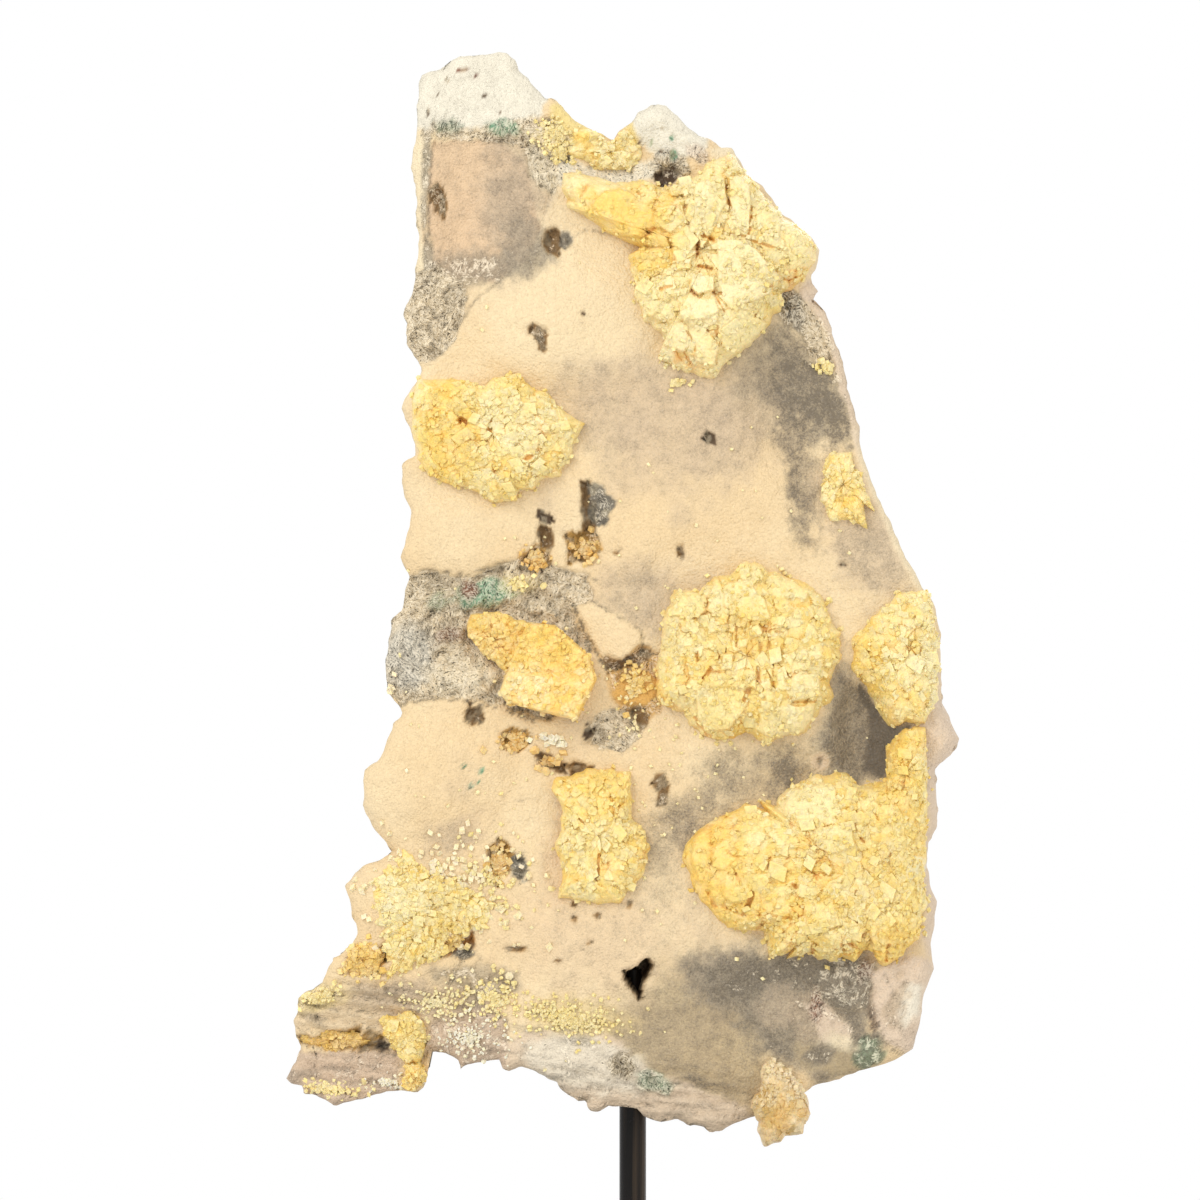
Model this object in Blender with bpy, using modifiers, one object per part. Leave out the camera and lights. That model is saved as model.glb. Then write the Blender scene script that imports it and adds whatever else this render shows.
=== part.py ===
"""A calcite flower specimen on a steel stand.

A slab of rock under a druzy quartz crust carries clusters of yellow calcite. It is drilled from below
and set on a black steel rod, which stands in a steel base plate.

Metres, +Z up. X runs to the viewer's right, the face of the slab looks along -Y, and the origin is the
middle of the base plate's underside, on the rod's axis. Places on the slab are given in millimetres as
(x, z), and MM turns them into metres.
"""

import itertools
import math
from dataclasses import dataclass

import bmesh
import bpy
import numpy as np
from mathutils import Matrix, Vector

MM = 0.001

# Driving dimensions of the stand, in millimetres
ROD_DIAMETER = 12.0
ROD_TOP = 192.0
ROD_SOCKET_FLOOR = 4.0
ROD_SIDES = 24
ROD_CHAMFER = 1.0
PLATE_WIDTH = 220.0
PLATE_DEPTH = 180.0
PLATE_THICKNESS = 10.0
PLATE_CORNER = 8.0
PLATE_EDGE = 0.8

# Clearance between neighbouring pieces, in millimetres; the ground's points move more, being on its corners
GAP = 0.3
GROUND_GAP = 0.4

# Driving dimensions of the slab, in millimetres
FACE_FORWARD = 27.0
BACK_BEHIND = 24.0
FACE_SHOULDER = (10.0, 8.0)
BACK_SHOULDER = (18.0, 10.0)
WALL_HOLLOW = 9.0
WALL_REACH = 15.0
WALL_PITCH = 24.0
SILHOUETTE_SHARE = 0.35
SPINE = ((4, 190), (-10, 500))
FACE_WAVES = ((1.8, 34, 1), (0.9, 15, 2))
BACK_WAVES = ((3.5, 55, 4), (2.0, 22, 5))
BLANK_HALF_THICKNESS = 25.0
BLANK_CELL = 5.0
SLAB_TRIANGLES = 1850
BORE_TOP = 199.0
BORE_FLOOR = 100.0

# The outline of the slab seen from the front, clockwise from the left end of the top
SLAB_OUTLINE = [
    (-97, 560), (-96, 575), (-95, 588), (-90, 592.5), (-84, 593.5), (-79, 599), (-72, 599.5), (-66, 599.5),
    (-60, 601), (-54, 599.5), (-51, 593), (-46, 589), (-40, 579.5), (-34, 579), (-25, 570), (-15, 564.5),
    (-9, 562), (-1, 569), (2, 573.5), (11, 577.5), (15, 577), (29, 563.5), (34, 562), (39, 558.5), (44, 558),
    (52, 545), (60, 538.5), (66, 529.5), (79, 518.5), (83, 512), (80, 500.5), (83, 494), (80, 489.5),
    (86, 484.5), (91, 469), (95.5, 451), (101, 434), (101, 428), (108, 406), (120, 379), (129, 362.5),
    (133, 358.5), (137, 341), (137.5, 311), (146, 294.5), (135, 281), (136, 255), (132, 248), (132, 238),
    (136, 222), (133, 203), (134.5, 192), (130, 181), (124.5, 157), (110, 149.5), (90, 143), (76, 137),
    (66, 130), (53, 126.5), (47, 125), (35, 119.8), (31, 122.5), (20, 126), (5, 126.5), (-6, 131),
    (-15, 128.5), (-21, 134), (-33.5, 142), (-43, 146.5), (-58.5, 148), (-66, 151), (-77, 147), (-84, 154.5),
    (-94.5, 152), (-91, 145), (-97, 137.5), (-119, 134.5), (-133, 131), (-147, 136.5), (-154.5, 143.5),
    (-148, 157), (-152, 170), (-150, 180), (-138.5, 186), (-134, 198), (-123, 208), (-128.5, 230),
    (-118, 239.5), (-106.5, 245), (-117, 257), (-120.5, 271), (-119, 281), (-110, 293), (-103, 306),
    (-110, 316), (-108.5, 340), (-101.5, 361), (-103.5, 376), (-98.5, 396), (-103.5, 411), (-97, 423),
    (-103, 442), (-94.5, 459), (-101.5, 475), (-102.5, 484), (-97, 500), (-96, 530), (-99, 549),
]


@dataclass(frozen=True)
class Swell:
    """A broad rise, or a hollow if its height is negative, of the slab's face."""

    x: float
    z: float
    across: float
    up: float
    height: float


SWELLS = (
    Swell(-70, 530, 20, 28, -4.0),
    Swell(-30, 480, 45, 28, 4.0),
    Swell(-70, 588, 30, 14, -3.0),
    Swell(75, 445, 24, 34, -6.0),
    Swell(-75, 385, 34, 16, 3.0),
    Swell(-84, 342, 30, 20, -6.0),
    Swell(20, 400, 48, 32, 3.0),
    Swell(103, 300, 13, 22, -9.0),
    Swell(60, 281, 42, 10, -3.0),
    Swell(-90, 278, 30, 26, 5.0),
    Swell(-104, 228, 26, 18, 3.0),
    Swell(-124, 160, 42, 24, -8.0),
    Swell(0, 205, 38, 34, 3.0),
    Swell(70, 180, 34, 18, -6.0),
    Swell(118, 172, 14, 20, 2.0),
    Swell(-12, 552, 20, 12, -7.0),
)


@dataclass(frozen=True)
class Pit:
    """A hollow in the slab's face: an ellipsoid that cuts it, turned by spin degrees clockwise."""

    x: float
    z: float
    across: float
    up: float
    depth: float
    spin: float = 0.0


PITS = (
    Pit(-22, 397, 4.5, 16, 11, -6),
    Pit(-23, 378, 8, 6, 7),
    Pit(-13, 401, 6, 8, 4, 30),
    Pit(-41, 381, 6, 10, 8, -12),
    Pit(-71, 307, 6, 6, 12),
    Pit(-49, 294, 9, 5.5, 7, -20),
    Pit(-36, 285, 9, 4.5, 6, 28),
    Pit(12, 272, 4.5, 7, 6),
    Pit(-60, 240, 6, 11, 8, 10),
    Pit(-86, 533, 4.5, 9, 7, -10),
    Pit(-35, 515, 5, 6, 9),
    Pit(-42, 473, 6, 6, 7),
    Pit(-50, 201.5, 6, 2.6, 5),
    Pit(-80, 205, 10, 4.5, 8, -18),
    Pit(-117, 197.5, 12, 8.5, 10, 14),
    Pit(-132, 160.5, 28, 4, 14, -4),
    Pit(13, 544, 5, 5, 8),
)
ROD_WINDOW = Pit(2.5, 187.5, 5.5, 10.5, 26)


@dataclass(frozen=True)
class Lump:
    """A rounded mass of calcite that rises above the slab's face, its middle sunk below the face."""

    x: float
    z: float
    across: float
    up: float
    rise: float
    sunk: float = 0.0


@dataclass(frozen=True)
class Rhomb:
    """One large crystal set by hand: its place, how far its middle stands out, its sides and its turns."""

    x: float
    z: float
    out: float
    sides: tuple[float, float, float]
    spin: float = 0.0
    tip: float = 0.0
    yaw: float = 0.0


@dataclass(frozen=True)
class Cluster:
    """A calcite cluster: its lumps, its large crystals, and the number and size of the small ones."""

    name: str
    lumps: tuple[Lump, ...]
    rhombs: tuple[Rhomb, ...]
    crystals: int
    size: tuple[float, float]
    seed: int
    honey: bool = False


CLUSTERS = (
    Cluster(
        "calcite_flower_crown",
        (
            Lump(44, 520, 36, 31, 20),
            Lump(8, 526, 26, 16, 13),
            Lump(50, 492, 24, 24, 17),
            Lump(24, 486, 22, 27, 16),
            Lump(-18, 537, 14, 9, 8),
        ),
        (
            Rhomb(-4, 530, 9, (30, 12, 16), 12, -12, -8),
            Rhomb(13, 509, 13, (24, 14, 17), 18, 10, -14),
            Rhomb(51, 499, 16, (26, 14, 25), 28, 8, 12),
            Rhomb(60, 523, 14, (22, 14, 18), -20, -14, 18),
            Rhomb(36, 541, 12, (22, 12, 16), -8, -22, 2),
            Rhomb(20, 486, 14, (20, 12, 13), 14, 16, -8),
            Rhomb(45, 477, 11, (18, 12, 14), 34, 20, 10),
        ),
        12,
        (10, 15),
        3,
    ),
    Cluster(
        "calcite_flower_left",
        (Lump(-49, 430, 24, 22, 16), Lump(-80, 434, 17, 18, 10), Lump(-66, 423, 17, 18, 13)),
        (Rhomb(-40, 436, 13, (14, 10, 13), 25, -8, 16), Rhomb(-56, 448, 11, (13, 10, 12), -12, -20, -4)),
        13,
        (8, 12),
        5,
    ),
    Cluster(
        "calcite_flower_centre",
        (Lump(50, 333, 36, 35, 19), Lump(30, 345, 17, 16, 13), Lump(68, 316, 20, 19, 13)),
        (
            Rhomb(24, 354, 9, (14, 10, 13), 6, -10, -12),
            Rhomb(50, 358, 12, (20, 12, 15), 10, -18, 2),
            Rhomb(37, 312, 13, (24, 12, 15), 8, 16, -8),
            Rhomb(69, 303, 11, (20, 12, 14), 22, 20, 10),
            Rhomb(75, 322, 14, (14, 10, 13), -14, 6, 14),
        ),
        13,
        (9, 13),
        7,
    ),
    Cluster(
        "calcite_flower_right_edge",
        (Lump(121, 332, 13, 25, 11), Lump(107, 337, 9, 10, 6)),
        (Rhomb(122, 345, 8, (13, 9, 15), 18, -12, 10),),
        8,
        (8, 12),
        11,
    ),
    Cluster(
        "calcite_flower_lower_right",
        (
            Lump(80, 238, 40, 34, 19),
            Lump(44, 239, 20, 22, 14),
            Lump(114, 266, 14, 31, 12),
            Lump(104, 219, 22, 21, 14),
        ),
        (
            Rhomb(32, 240, 8, (9, 9, 26), -8, 4, -22),
            Rhomb(44, 230, 12, (11, 9, 11), 10, 12, -10),
            Rhomb(84, 265, 14, (22, 12, 18), 24, -16, 4),
            Rhomb(62, 246, 15, (16, 12, 18), -16, -4, -8),
            Rhomb(118, 285, 9, (14, 10, 18), 10, -10, 8),
        ),
        14,
        (10, 14),
        13,
    ),
    Cluster(
        "calcite_flower_lower_centre",
        (Lump(-17, 263, 15, 17, 12), Lump(-14, 240, 18, 16, 13)),
        (Rhomb(-20, 272, 9, (12, 9, 12), 14, -14, -6),),
        9,
        (8, 12),
        17,
    ),
    Cluster(
        "honey_calcite_rhomb",
        (Lump(-63, 340, 10, 10, 6), Lump(-48, 340, 12, 8, 5)),
        (Rhomb(-37, 324, 5, (33, 18, 35), 31, -10, 4),),
        7,
        (6, 9),
        19,
        honey=True,
    ),
    Cluster("calcite_patch_right", (Lump(91, 410, 8, 12, 5), Lump(97, 399, 7, 9, 4)), (), 4, (7, 10), 29),
    Cluster(
        "calcite_druse_lower_left",
        (Lump(-90, 222, 27, 13, 5), Lump(-108, 225, 12, 12, 5), Lump(-97, 205, 13, 11, 5)),
        (),
        9,
        (7, 11),
        31,
    ),
    Cluster(
        "calcite_knob",
        (
            Lump(65, 141, 11, 13, 10, 7),
            Lump(62, 126, 9, 12, 8, 4),
            Lump(71, 130, 8, 12, 7, 5),
        ),
        (),
        5,
        (5, 7),
        37,
    ),
    Cluster(
        "calcite_cluster_wing", (Lump(-101, 164, 10, 9, 8), Lump(-97, 158, 6, 6, 6)), (), 3, (7, 9), 41
    ),
    Cluster("calcite_notch_druse", (Lump(-11, 556, 17, 8, 5),), (), 4, (7, 10), 43),
    Cluster("honey_wing_pocket", (Lump(-119, 197, 9, 7.5, 4, 6),), (), 3, (5, 7), 47, honey=True),
    Cluster("honey_wing_seam", (Lump(-134, 160.5, 13, 3.2, 5, 6),), (), 0, (4, 6), 53, honey=True),
    Cluster("honey_wing_tip", (Lump(-98, 144, 6, 6, 5),), (), 3, (5, 7), 59, honey=True),
)

# A calcite cleavage rhomb is a cube pressed along its diagonal
RHOMB_PRESS = 0.7
LARGE_LUMP = 15.0

# Material values: colour, roughness, metallic
FINISHES = {
    "druzy_rock": ((0.80, 0.69, 0.54), 0.7, 0.0),
    "yellow_calcite": ((0.93, 0.76, 0.40), 0.45, 0.0),
    "honey_calcite": ((0.86, 0.60, 0.24), 0.45, 0.0),
    "black_steel": ((0.02, 0.018, 0.016), 0.35, 0.6),
}


def clear_scene():
    """Takes out whatever the scene holds."""
    for obj in list(bpy.data.objects):
        bpy.data.objects.remove(obj)


def collection(name, hidden=False):
    """A new collection in the scene, left out of renders if hidden."""
    made = bpy.data.collections.new(name)
    bpy.context.scene.collection.children.link(made)
    made.hide_render = hidden
    return made


def material(name):
    """The Principled material of that finish, made the first time it is asked for."""
    found = bpy.data.materials.get(name)
    if found:
        return found
    color, roughness, metallic = FINISHES[name]
    made = bpy.data.materials.new(name)
    made.use_nodes = True
    shader = made.node_tree.nodes["Principled BSDF"]
    shader.inputs["Base Color"].default_value = (*color, 1.0)
    shader.inputs["Roughness"].default_value = roughness
    shader.inputs["Metallic"].default_value = metallic
    return made


def placed(name, mesh, home, finish=None):
    """An object of that mesh, linked to the collection home."""
    obj = bpy.data.objects.new(name, mesh)
    home.objects.link(obj)
    if finish:
        mesh.materials.clear()
        mesh.materials.append(material(finish))
    return obj


def mesh_of(name, work):
    """A mesh with the faces of the bmesh work, which is freed."""
    mesh = bpy.data.meshes.new(name)
    work.to_mesh(mesh)
    work.free()
    return mesh


def applied(obj, name, home, finish=None):
    """Replaces obj by its evaluated mesh: welded, in world space, and only its largest body."""
    bpy.context.view_layer.update()
    graph = bpy.context.evaluated_depsgraph_get()
    mesh = bpy.data.meshes.new_from_object(obj.evaluated_get(graph))
    mesh.transform(obj.matrix_world)
    bpy.data.objects.remove(obj)
    keep_largest_body(mesh)
    return placed(name, mesh, home, finish)


def keep_largest_body(mesh):
    """Welds the mesh and deletes every loose body but the one with the most faces."""
    work = bmesh.new()
    work.from_mesh(mesh)
    bmesh.ops.remove_doubles(work, verts=work.verts, dist=1e-6)
    bodies = []
    left = set(work.verts)
    while left:
        body = set()
        front = [next(iter(left))]
        while front:
            vert = front.pop()
            if vert in body:
                continue
            body.add(vert)
            front.extend(edge.other_vert(vert) for edge in vert.link_edges)
        left -= body
        bodies.append(body)
    bodies.sort(key=len, reverse=True)
    spare = [vert for body in bodies[1:] for vert in body]
    bmesh.ops.delete(work, geom=spare, context="VERTS")
    work.to_mesh(mesh)
    work.free()


def boolean(obj, operation, others):
    """Adds a Boolean modifier with a collection as its operand."""
    modifier = obj.modifiers.new(operation.lower(), "BOOLEAN")
    modifier.operation = operation
    modifier.operand_type = "COLLECTION"
    modifier.collection = others
    modifier.solver = "EXACT"


def lattice_noise(x, z, pitch, seed):
    """Smooth noise from -1 to 1: random values on a square grid of that pitch, blended by a smoothstep."""
    side = 64
    values = np.random.default_rng(seed).uniform(-1, 1, (side, side))
    column, row = np.floor(x / pitch), np.floor(z / pitch)
    across, up = x / pitch - column, z / pitch - row
    total = np.zeros_like(across)
    for right, above in itertools.product((0, 1), repeat=2):
        picked = values[(column.astype(int) + right) % side, (row.astype(int) + above) % side]
        weight_x = smooth(across) if right else 1 - smooth(across)
        weight_z = smooth(up) if above else 1 - smooth(up)
        total += picked * weight_x * weight_z
    return total


def noise_sum(x, z, waves):
    """The sum of noises, each given as its height, its pitch and its seed."""
    return sum(height * lattice_noise(x, z, pitch, seed) for height, pitch, seed in waves)


def smooth(share):
    """A smoothstep of numbers from 0 to 1."""
    return share * share * (3 - 2 * share)


def to_line(x, z, start, end):
    """The step in x and in z from each point to the nearest point of the line from start to end."""
    start, end = np.array(start, float), np.array(end, float)
    run = end - start
    along = np.clip(((x - start[0]) * run[0] + (z - start[1]) * run[1]) / (run @ run), 0, 1)
    return start[0] + along * run[0] - x, start[1] + along * run[1] - z


def rim_distance(x, z):
    """How far each point lies from the slab's outline, whichever side it is on."""
    nearest = np.full(np.shape(x), np.inf)
    for start, end in zip(SLAB_OUTLINE, SLAB_OUTLINE[1:] + SLAB_OUTLINE[:1]):
        nearest = np.minimum(nearest, np.hypot(*to_line(x, z, start, end)))
    return nearest


def shoulder(distance, width, drop):
    """How far the face has fallen back at that distance from the rim: a quarter ellipse."""
    inward = np.clip(1 - distance / width, 0, 1)
    return drop * (1 - np.sqrt(1 - inward * inward))


def face_height(x, z):
    """How far the slab's face stands in front of the rod's axis, in millimetres."""
    height = FACE_FORWARD + noise_sum(x, z, FACE_WAVES)
    for swell in SWELLS:
        off = ((x - swell.x) / swell.across) ** 2 + ((z - swell.z) / swell.up) ** 2
        height = height + swell.height * np.exp(-off * off)
    return height - shoulder(rim_distance(x, z), *FACE_SHOULDER)


def back_height(x, z):
    """How far the slab's back stands behind the rod's axis, in millimetres."""
    height = BACK_BEHIND + noise_sum(x, z, BACK_WAVES)
    return height - shoulder(rim_distance(x, z), *BACK_SHOULDER)


def face_at(x, z):
    """The face's height at one point."""
    return float(face_height(np.array([float(x)]), np.array([float(z)]))[0])


def slab_blank(shop):
    """The slab's outline as a flat sheet of even cells, cut from a filled curve."""
    outline = bpy.data.curves.new("slab_outline", "CURVE")
    outline.dimensions = "2D"
    outline.fill_mode = "BOTH"
    outline.extrude = BLANK_HALF_THICKNESS * MM
    spline = outline.splines.new("POLY")
    spline.points.add(len(SLAB_OUTLINE) - 1)
    spline.use_cyclic_u = True
    for point, (x, z) in zip(spline.points, SLAB_OUTLINE):
        point.co = (x * MM, z * MM, 0, 1)
    sheet = bpy.data.objects.new("slab_sheet", outline)
    shop.objects.link(sheet)
    sheet.rotation_euler.x = math.pi / 2
    blank = applied(sheet, "slab_blank", shop)
    remesh = blank.modifiers.new("even_cells", "REMESH")
    remesh.mode = "VOXEL"
    remesh.voxel_size = BLANK_CELL * MM
    return applied(blank, "slab_blank", shop)


def shape_slab(blank):
    """Moves the blank's points so that its two sides follow the face and the back, and roughens its wall.

    A point near the rim moves towards the slab's spine, by noise along the rim and through the slab. The
    outermost points stay, so that the outline from the front is kept.
    """
    mesh = blank.data
    points = np.empty(len(mesh.vertices) * 3, np.float32)
    mesh.vertices.foreach_get("co", points)
    x, y, z = (points.reshape(-1, 3) / MM).T.astype(float)
    share = np.clip((y + BLANK_HALF_THICKNESS) / (2 * BLANK_HALF_THICKNESS), 0, 1)
    y = -face_height(x, z) * (1 - share) + back_height(x, z) * share
    near_rim = np.clip(1.2 - rim_distance(x, z) / WALL_REACH, 0, 1)
    inside = np.clip(1 - np.abs(share - SILHOUETTE_SHARE) / (1 - SILHOUETTE_SHARE), 0, 1)
    rough = np.clip(0.15 + lattice_noise(x + z, x - z + 4 * y, WALL_PITCH, 6), 0, 1)
    behind = np.clip(share - SILHOUETTE_SHARE - 0.1, 0, 1)
    hollow = WALL_HOLLOW * near_rim * (inside * rough + behind)
    step_x, step_z = to_line(x, z, *SPINE)
    length = np.hypot(step_x, step_z)
    x, z = x + hollow * step_x / length, z + hollow * step_z / length
    mesh.vertices.foreach_set("co", (np.stack([x, y, z], axis=1) * MM).astype(np.float32).ravel())
    mesh.update()


def slab_body(shop):
    """The slab before it is cut: an even blank shaped by its two sides and thinned to few triangles."""
    blank = slab_blank(shop)
    shape_slab(blank)
    triangulate = blank.modifiers.new("triangles", "TRIANGULATE")
    triangulate.quad_method = "BEAUTY"
    thin = blank.modifiers.new("fewer_triangles", "DECIMATE")
    faces = sum(len(face.vertices) - 2 for face in blank.data.polygons)
    thin.ratio = SLAB_TRIANGLES / faces
    return applied(blank, "slab_body", shop)


def ground_of(body, home, cutters):
    """What the calcite sits on: the slab's body, larger by the gap all round, with hollows smaller by it."""
    ground = placed("ground", body.data.copy(), home)
    grow = ground.modifiers.new("gap", "DISPLACE")
    grow.direction = "NORMAL"
    grow.mid_level = 0.0
    grow.strength = GROUND_GAP * MM
    boolean(ground, "DIFFERENCE", cutters)
    return applied(ground, "ground", home)


def cylinder(name, home, radius, low, high, sides=ROD_SIDES, finish=None):
    """An upright cylinder on the rod's axis, from low to high."""
    work = bmesh.new()
    bmesh.ops.create_cone(
        work, cap_ends=True, segments=sides, radius1=radius * MM, radius2=radius * MM, depth=(high - low) * MM
    )
    bmesh.ops.translate(work, verts=work.verts, vec=(0, 0, (low + high) / 2 * MM))
    return placed(name, mesh_of(name, work), home, finish)


def ball(name, home, centre, radii, turn, facets):
    """A faceted ellipsoid in millimetres, turned by a matrix about its centre."""
    work = bmesh.new()
    bmesh.ops.create_icosphere(work, subdivisions=facets, radius=1.0)
    stretch = Matrix.Diagonal((*radii, 1.0))
    place = Matrix.Scale(MM, 4) @ Matrix.Translation(centre) @ turn @ stretch
    bmesh.ops.transform(work, matrix=place, verts=work.verts)
    return placed(name, mesh_of(name, work), home)


def pit_cutter(pit, cutters, shrink=0.0):
    """The ellipsoid that cuts one hollow, centred on the face, every radius smaller by shrink."""
    turn = Matrix.Rotation(math.radians(pit.spin), 4, "Y")
    centre = Vector((pit.x, -face_at(pit.x, pit.z), pit.z))
    radii = (pit.across - shrink, pit.depth - shrink, pit.up - shrink)
    ball("pit_cutter", cutters, centre, radii, turn, facets_for(pit))


def facets_for(shape):
    """How finely a rounded shape is faceted: a large one has eighty faces, and the others twenty."""
    return 2 if max(shape.across, shape.up) > LARGE_LUMP else 1


def lump_centre(lump):
    """The middle of a lump."""
    return Vector((lump.x, lump.sunk - face_at(lump.x, lump.z), lump.z))


def lump_piece(lump, home, grow):
    """One lump, every radius larger by grow."""
    radii = (lump.across + grow, lump.rise + grow, lump.up + grow)
    ball("lump", home, lump_centre(lump), radii, Matrix.Identity(4), facets_for(lump))


def crystal_piece(home, centre, turn, sides, grow):
    """A calcite rhomb: a cube pressed along its diagonal, then stretched to its three sides."""
    diagonal = Vector((1, 1, 1)).normalized()
    press = Matrix.Scale(RHOMB_PRESS, 4, diagonal)
    stretch = Matrix.Diagonal((*[side + 2 * grow for side in sides], 1.0))
    work = bmesh.new()
    bmesh.ops.create_cube(work, size=1.0)
    place = Matrix.Scale(MM, 4) @ Matrix.Translation(centre) @ turn @ press @ stretch
    bmesh.ops.transform(work, matrix=place, verts=work.verts)
    return placed("crystal", mesh_of("crystal", work), home)


def set_by_hand(rhomb):
    """Centre, turn and sides of one large crystal."""
    centre = Vector((rhomb.x, -face_at(rhomb.x, rhomb.z) - rhomb.out, rhomb.z))
    turn = Matrix.Rotation(math.radians(rhomb.spin), 4, "Y")
    turn = Matrix.Rotation(math.radians(rhomb.tip), 4, "X") @ turn
    turn = Matrix.Rotation(math.radians(rhomb.yaw), 4, "Z") @ turn
    return centre, turn, rhomb.sides


def spread_over(cluster):
    """Centre, turn and sides of each small crystal, on a golden-angle spiral over the front of each lump.

    A crystal lies on the lump with one face outwards, a little askew, and stands out by a part of its size.
    """
    rng = np.random.default_rng(cluster.seed)
    areas = np.array([lump.across * lump.up for lump in cluster.lumps])
    counts = np.round(cluster.crystals * areas / areas.sum()).astype(int)
    golden = math.pi * (3 - math.sqrt(5))
    for lump, count in zip(cluster.lumps, counts):
        for step in range(count):
            reach = math.sqrt((step + 0.6) / (count + 0.2)) * 0.92
            angle = step * golden + rng.uniform(-0.3, 0.3)
            off = Vector((reach * math.cos(angle), -math.sqrt(1 - reach * reach), reach * math.sin(angle)))
            radii = Vector((lump.across, lump.rise, lump.up))
            outward = Vector((off.x / radii.x, off.y / radii.y, off.z / radii.z)).normalized()
            size = rng.uniform(*cluster.size)
            turn = outward.to_track_quat("X", "Y").to_matrix().to_4x4()
            turn = turn @ Matrix.Rotation(rng.uniform(0, 2 * math.pi), 4, "X")
            turn = turn @ Matrix.Rotation(math.radians(rng.uniform(-24, 24)), 4, "Z")
            centre = lump_centre(lump) + Vector(a * b for a, b in zip(off, radii)) - outward * size * 0.12
            yield centre, turn, (size * 0.9, size * 1.1, size * rng.uniform(0.75, 1.05))


def cluster_pieces(cluster, home, grow=0.0):
    """The lumps and crystals that a cluster is joined from, every side larger by grow."""
    for lump in cluster.lumps:
        lump_piece(lump, home, grow)
    by_hand = [set_by_hand(rhomb) for rhomb in cluster.rhombs]
    for centre, turn, sides in itertools.chain(by_hand, spread_over(cluster)):
        crystal_piece(home, centre, turn, sides, grow)


def reach_of(cluster):
    """The box (low x, low z, high x, high z) that a cluster stays in."""
    margin = cluster.size[1]
    return (
        min(lump.x - lump.across for lump in cluster.lumps) - margin,
        min(lump.z - lump.up for lump in cluster.lumps) - margin,
        max(lump.x + lump.across for lump in cluster.lumps) + margin,
        max(lump.z + lump.up for lump in cluster.lumps) + margin,
    )


def neighbours(one, other):
    """Whether two clusters' boxes meet."""
    a, b = reach_of(one), reach_of(other)
    return a[0] < b[2] and b[0] < a[2] and a[1] < b[3] and b[1] < a[3]


def calcite(home, shop, ground):
    """Every calcite cluster: its pieces in one body, seated on the ground and clear of those before it."""
    for number, cluster in enumerate(CLUSTERS):
        pieces = collection("pieces_of_" + cluster.name, hidden=True)
        cluster_pieces(cluster, pieces)
        body = pieces.objects[0]
        pieces.objects.unlink(body)
        shop.objects.link(body)
        boolean(body, "UNION", pieces)
        boolean(body, "DIFFERENCE", ground)
        for before in CLUSTERS[:number]:
            if neighbours(before, cluster):
                grown = collection("room_for_" + before.name, hidden=True)
                cluster_pieces(before, grown, GAP)
                boolean(body, "DIFFERENCE", grown)
        applied(body, cluster.name, home, "honey_calcite" if cluster.honey else "yellow_calcite")


def rod(home):
    """The steel rod, from the floor of its socket in the plate to its chamfered top inside the slab."""
    made = cylinder(
        "steel_rod", home, ROD_DIAMETER / 2, ROD_SOCKET_FLOOR + GAP, ROD_TOP, finish="black_steel"
    )
    chamfer = made.modifiers.new("chamfer", "BEVEL")
    chamfer.width = ROD_CHAMFER * MM
    chamfer.segments = 1
    chamfer.limit_method = "ANGLE"
    chamfer.angle_limit = math.radians(60)
    made.data.shade_smooth()
    made.data.set_sharp_from_angle(angle=math.radians(35))


def base_plate(home, cutters):
    """The steel base plate, with rounded corners, eased edges and a blind socket for the rod."""
    work = bmesh.new()
    bmesh.ops.create_cube(work, size=1.0)
    size = (PLATE_WIDTH * MM, PLATE_DEPTH * MM, PLATE_THICKNESS * MM)
    bmesh.ops.scale(work, vec=size, verts=work.verts)
    bmesh.ops.translate(work, vec=(0, 0, PLATE_THICKNESS / 2 * MM), verts=work.verts)
    upright = [edge for edge in work.edges if abs(edge.verts[0].co.z - edge.verts[1].co.z) > 1e-6]
    bmesh.ops.bevel(
        work, geom=upright, offset=PLATE_CORNER * MM, segments=4, profile=0.5, affect="EDGES"
    )
    plate = placed("base_plate", mesh_of("base_plate", work), home, "black_steel")
    cylinder("socket_cutter", cutters, ROD_DIAMETER / 2 + GAP, ROD_SOCKET_FLOOR, PLATE_THICKNESS + 5)
    ease = plate.modifiers.new("eased_edges", "BEVEL")
    ease.width = PLATE_EDGE * MM
    ease.segments = 1
    ease.limit_method = "ANGLE"
    ease.angle_limit = math.radians(60)
    boolean(plate, "DIFFERENCE", cutters)


def main():
    """Builds the stand, the slab's body, the calcite seated on it, and last the hollows and the bore."""
    clear_scene()
    home = collection("calcite_flower_on_stand")
    shop = collection("workshop", hidden=True)
    ground_home = collection("ground", hidden=True)
    slab_cutters = collection("slab_cutters", hidden=True)
    ground_cutters = collection("ground_cutters", hidden=True)
    plate_cutters = collection("plate_cutters", hidden=True)
    base_plate(home, plate_cutters)
    rod(home)
    for pit in PITS:
        pit_cutter(pit, slab_cutters)
        pit_cutter(pit, ground_cutters, GAP)
    pit_cutter(ROD_WINDOW, slab_cutters)
    cylinder("bore_cutter", slab_cutters, ROD_DIAMETER / 2 + GAP, BORE_FLOOR, BORE_TOP)
    body = slab_body(shop)
    ground_of(body, ground_home, ground_cutters)
    calcite(home, shop, ground_home)
    boolean(body, "DIFFERENCE", slab_cutters)
    applied(body, "rock_slab", home, "druzy_rock")
    for hidden in (slab_cutters, ground_cutters, plate_cutters):
        for cutter in hidden.objects:
            cutter.hide_render = True
            cutter.display_type = "WIRE"


main()
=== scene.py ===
"""A calcite flower specimen on a steel stand, dressed and lit for its picture.

Lengths are millimetres until a mesh is made, where MM turns them into metres. X runs to the viewer's right,
Z up, and the slab's face looks along -Y. A height is how far something stands in front of the rod's axis.
"""

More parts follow.
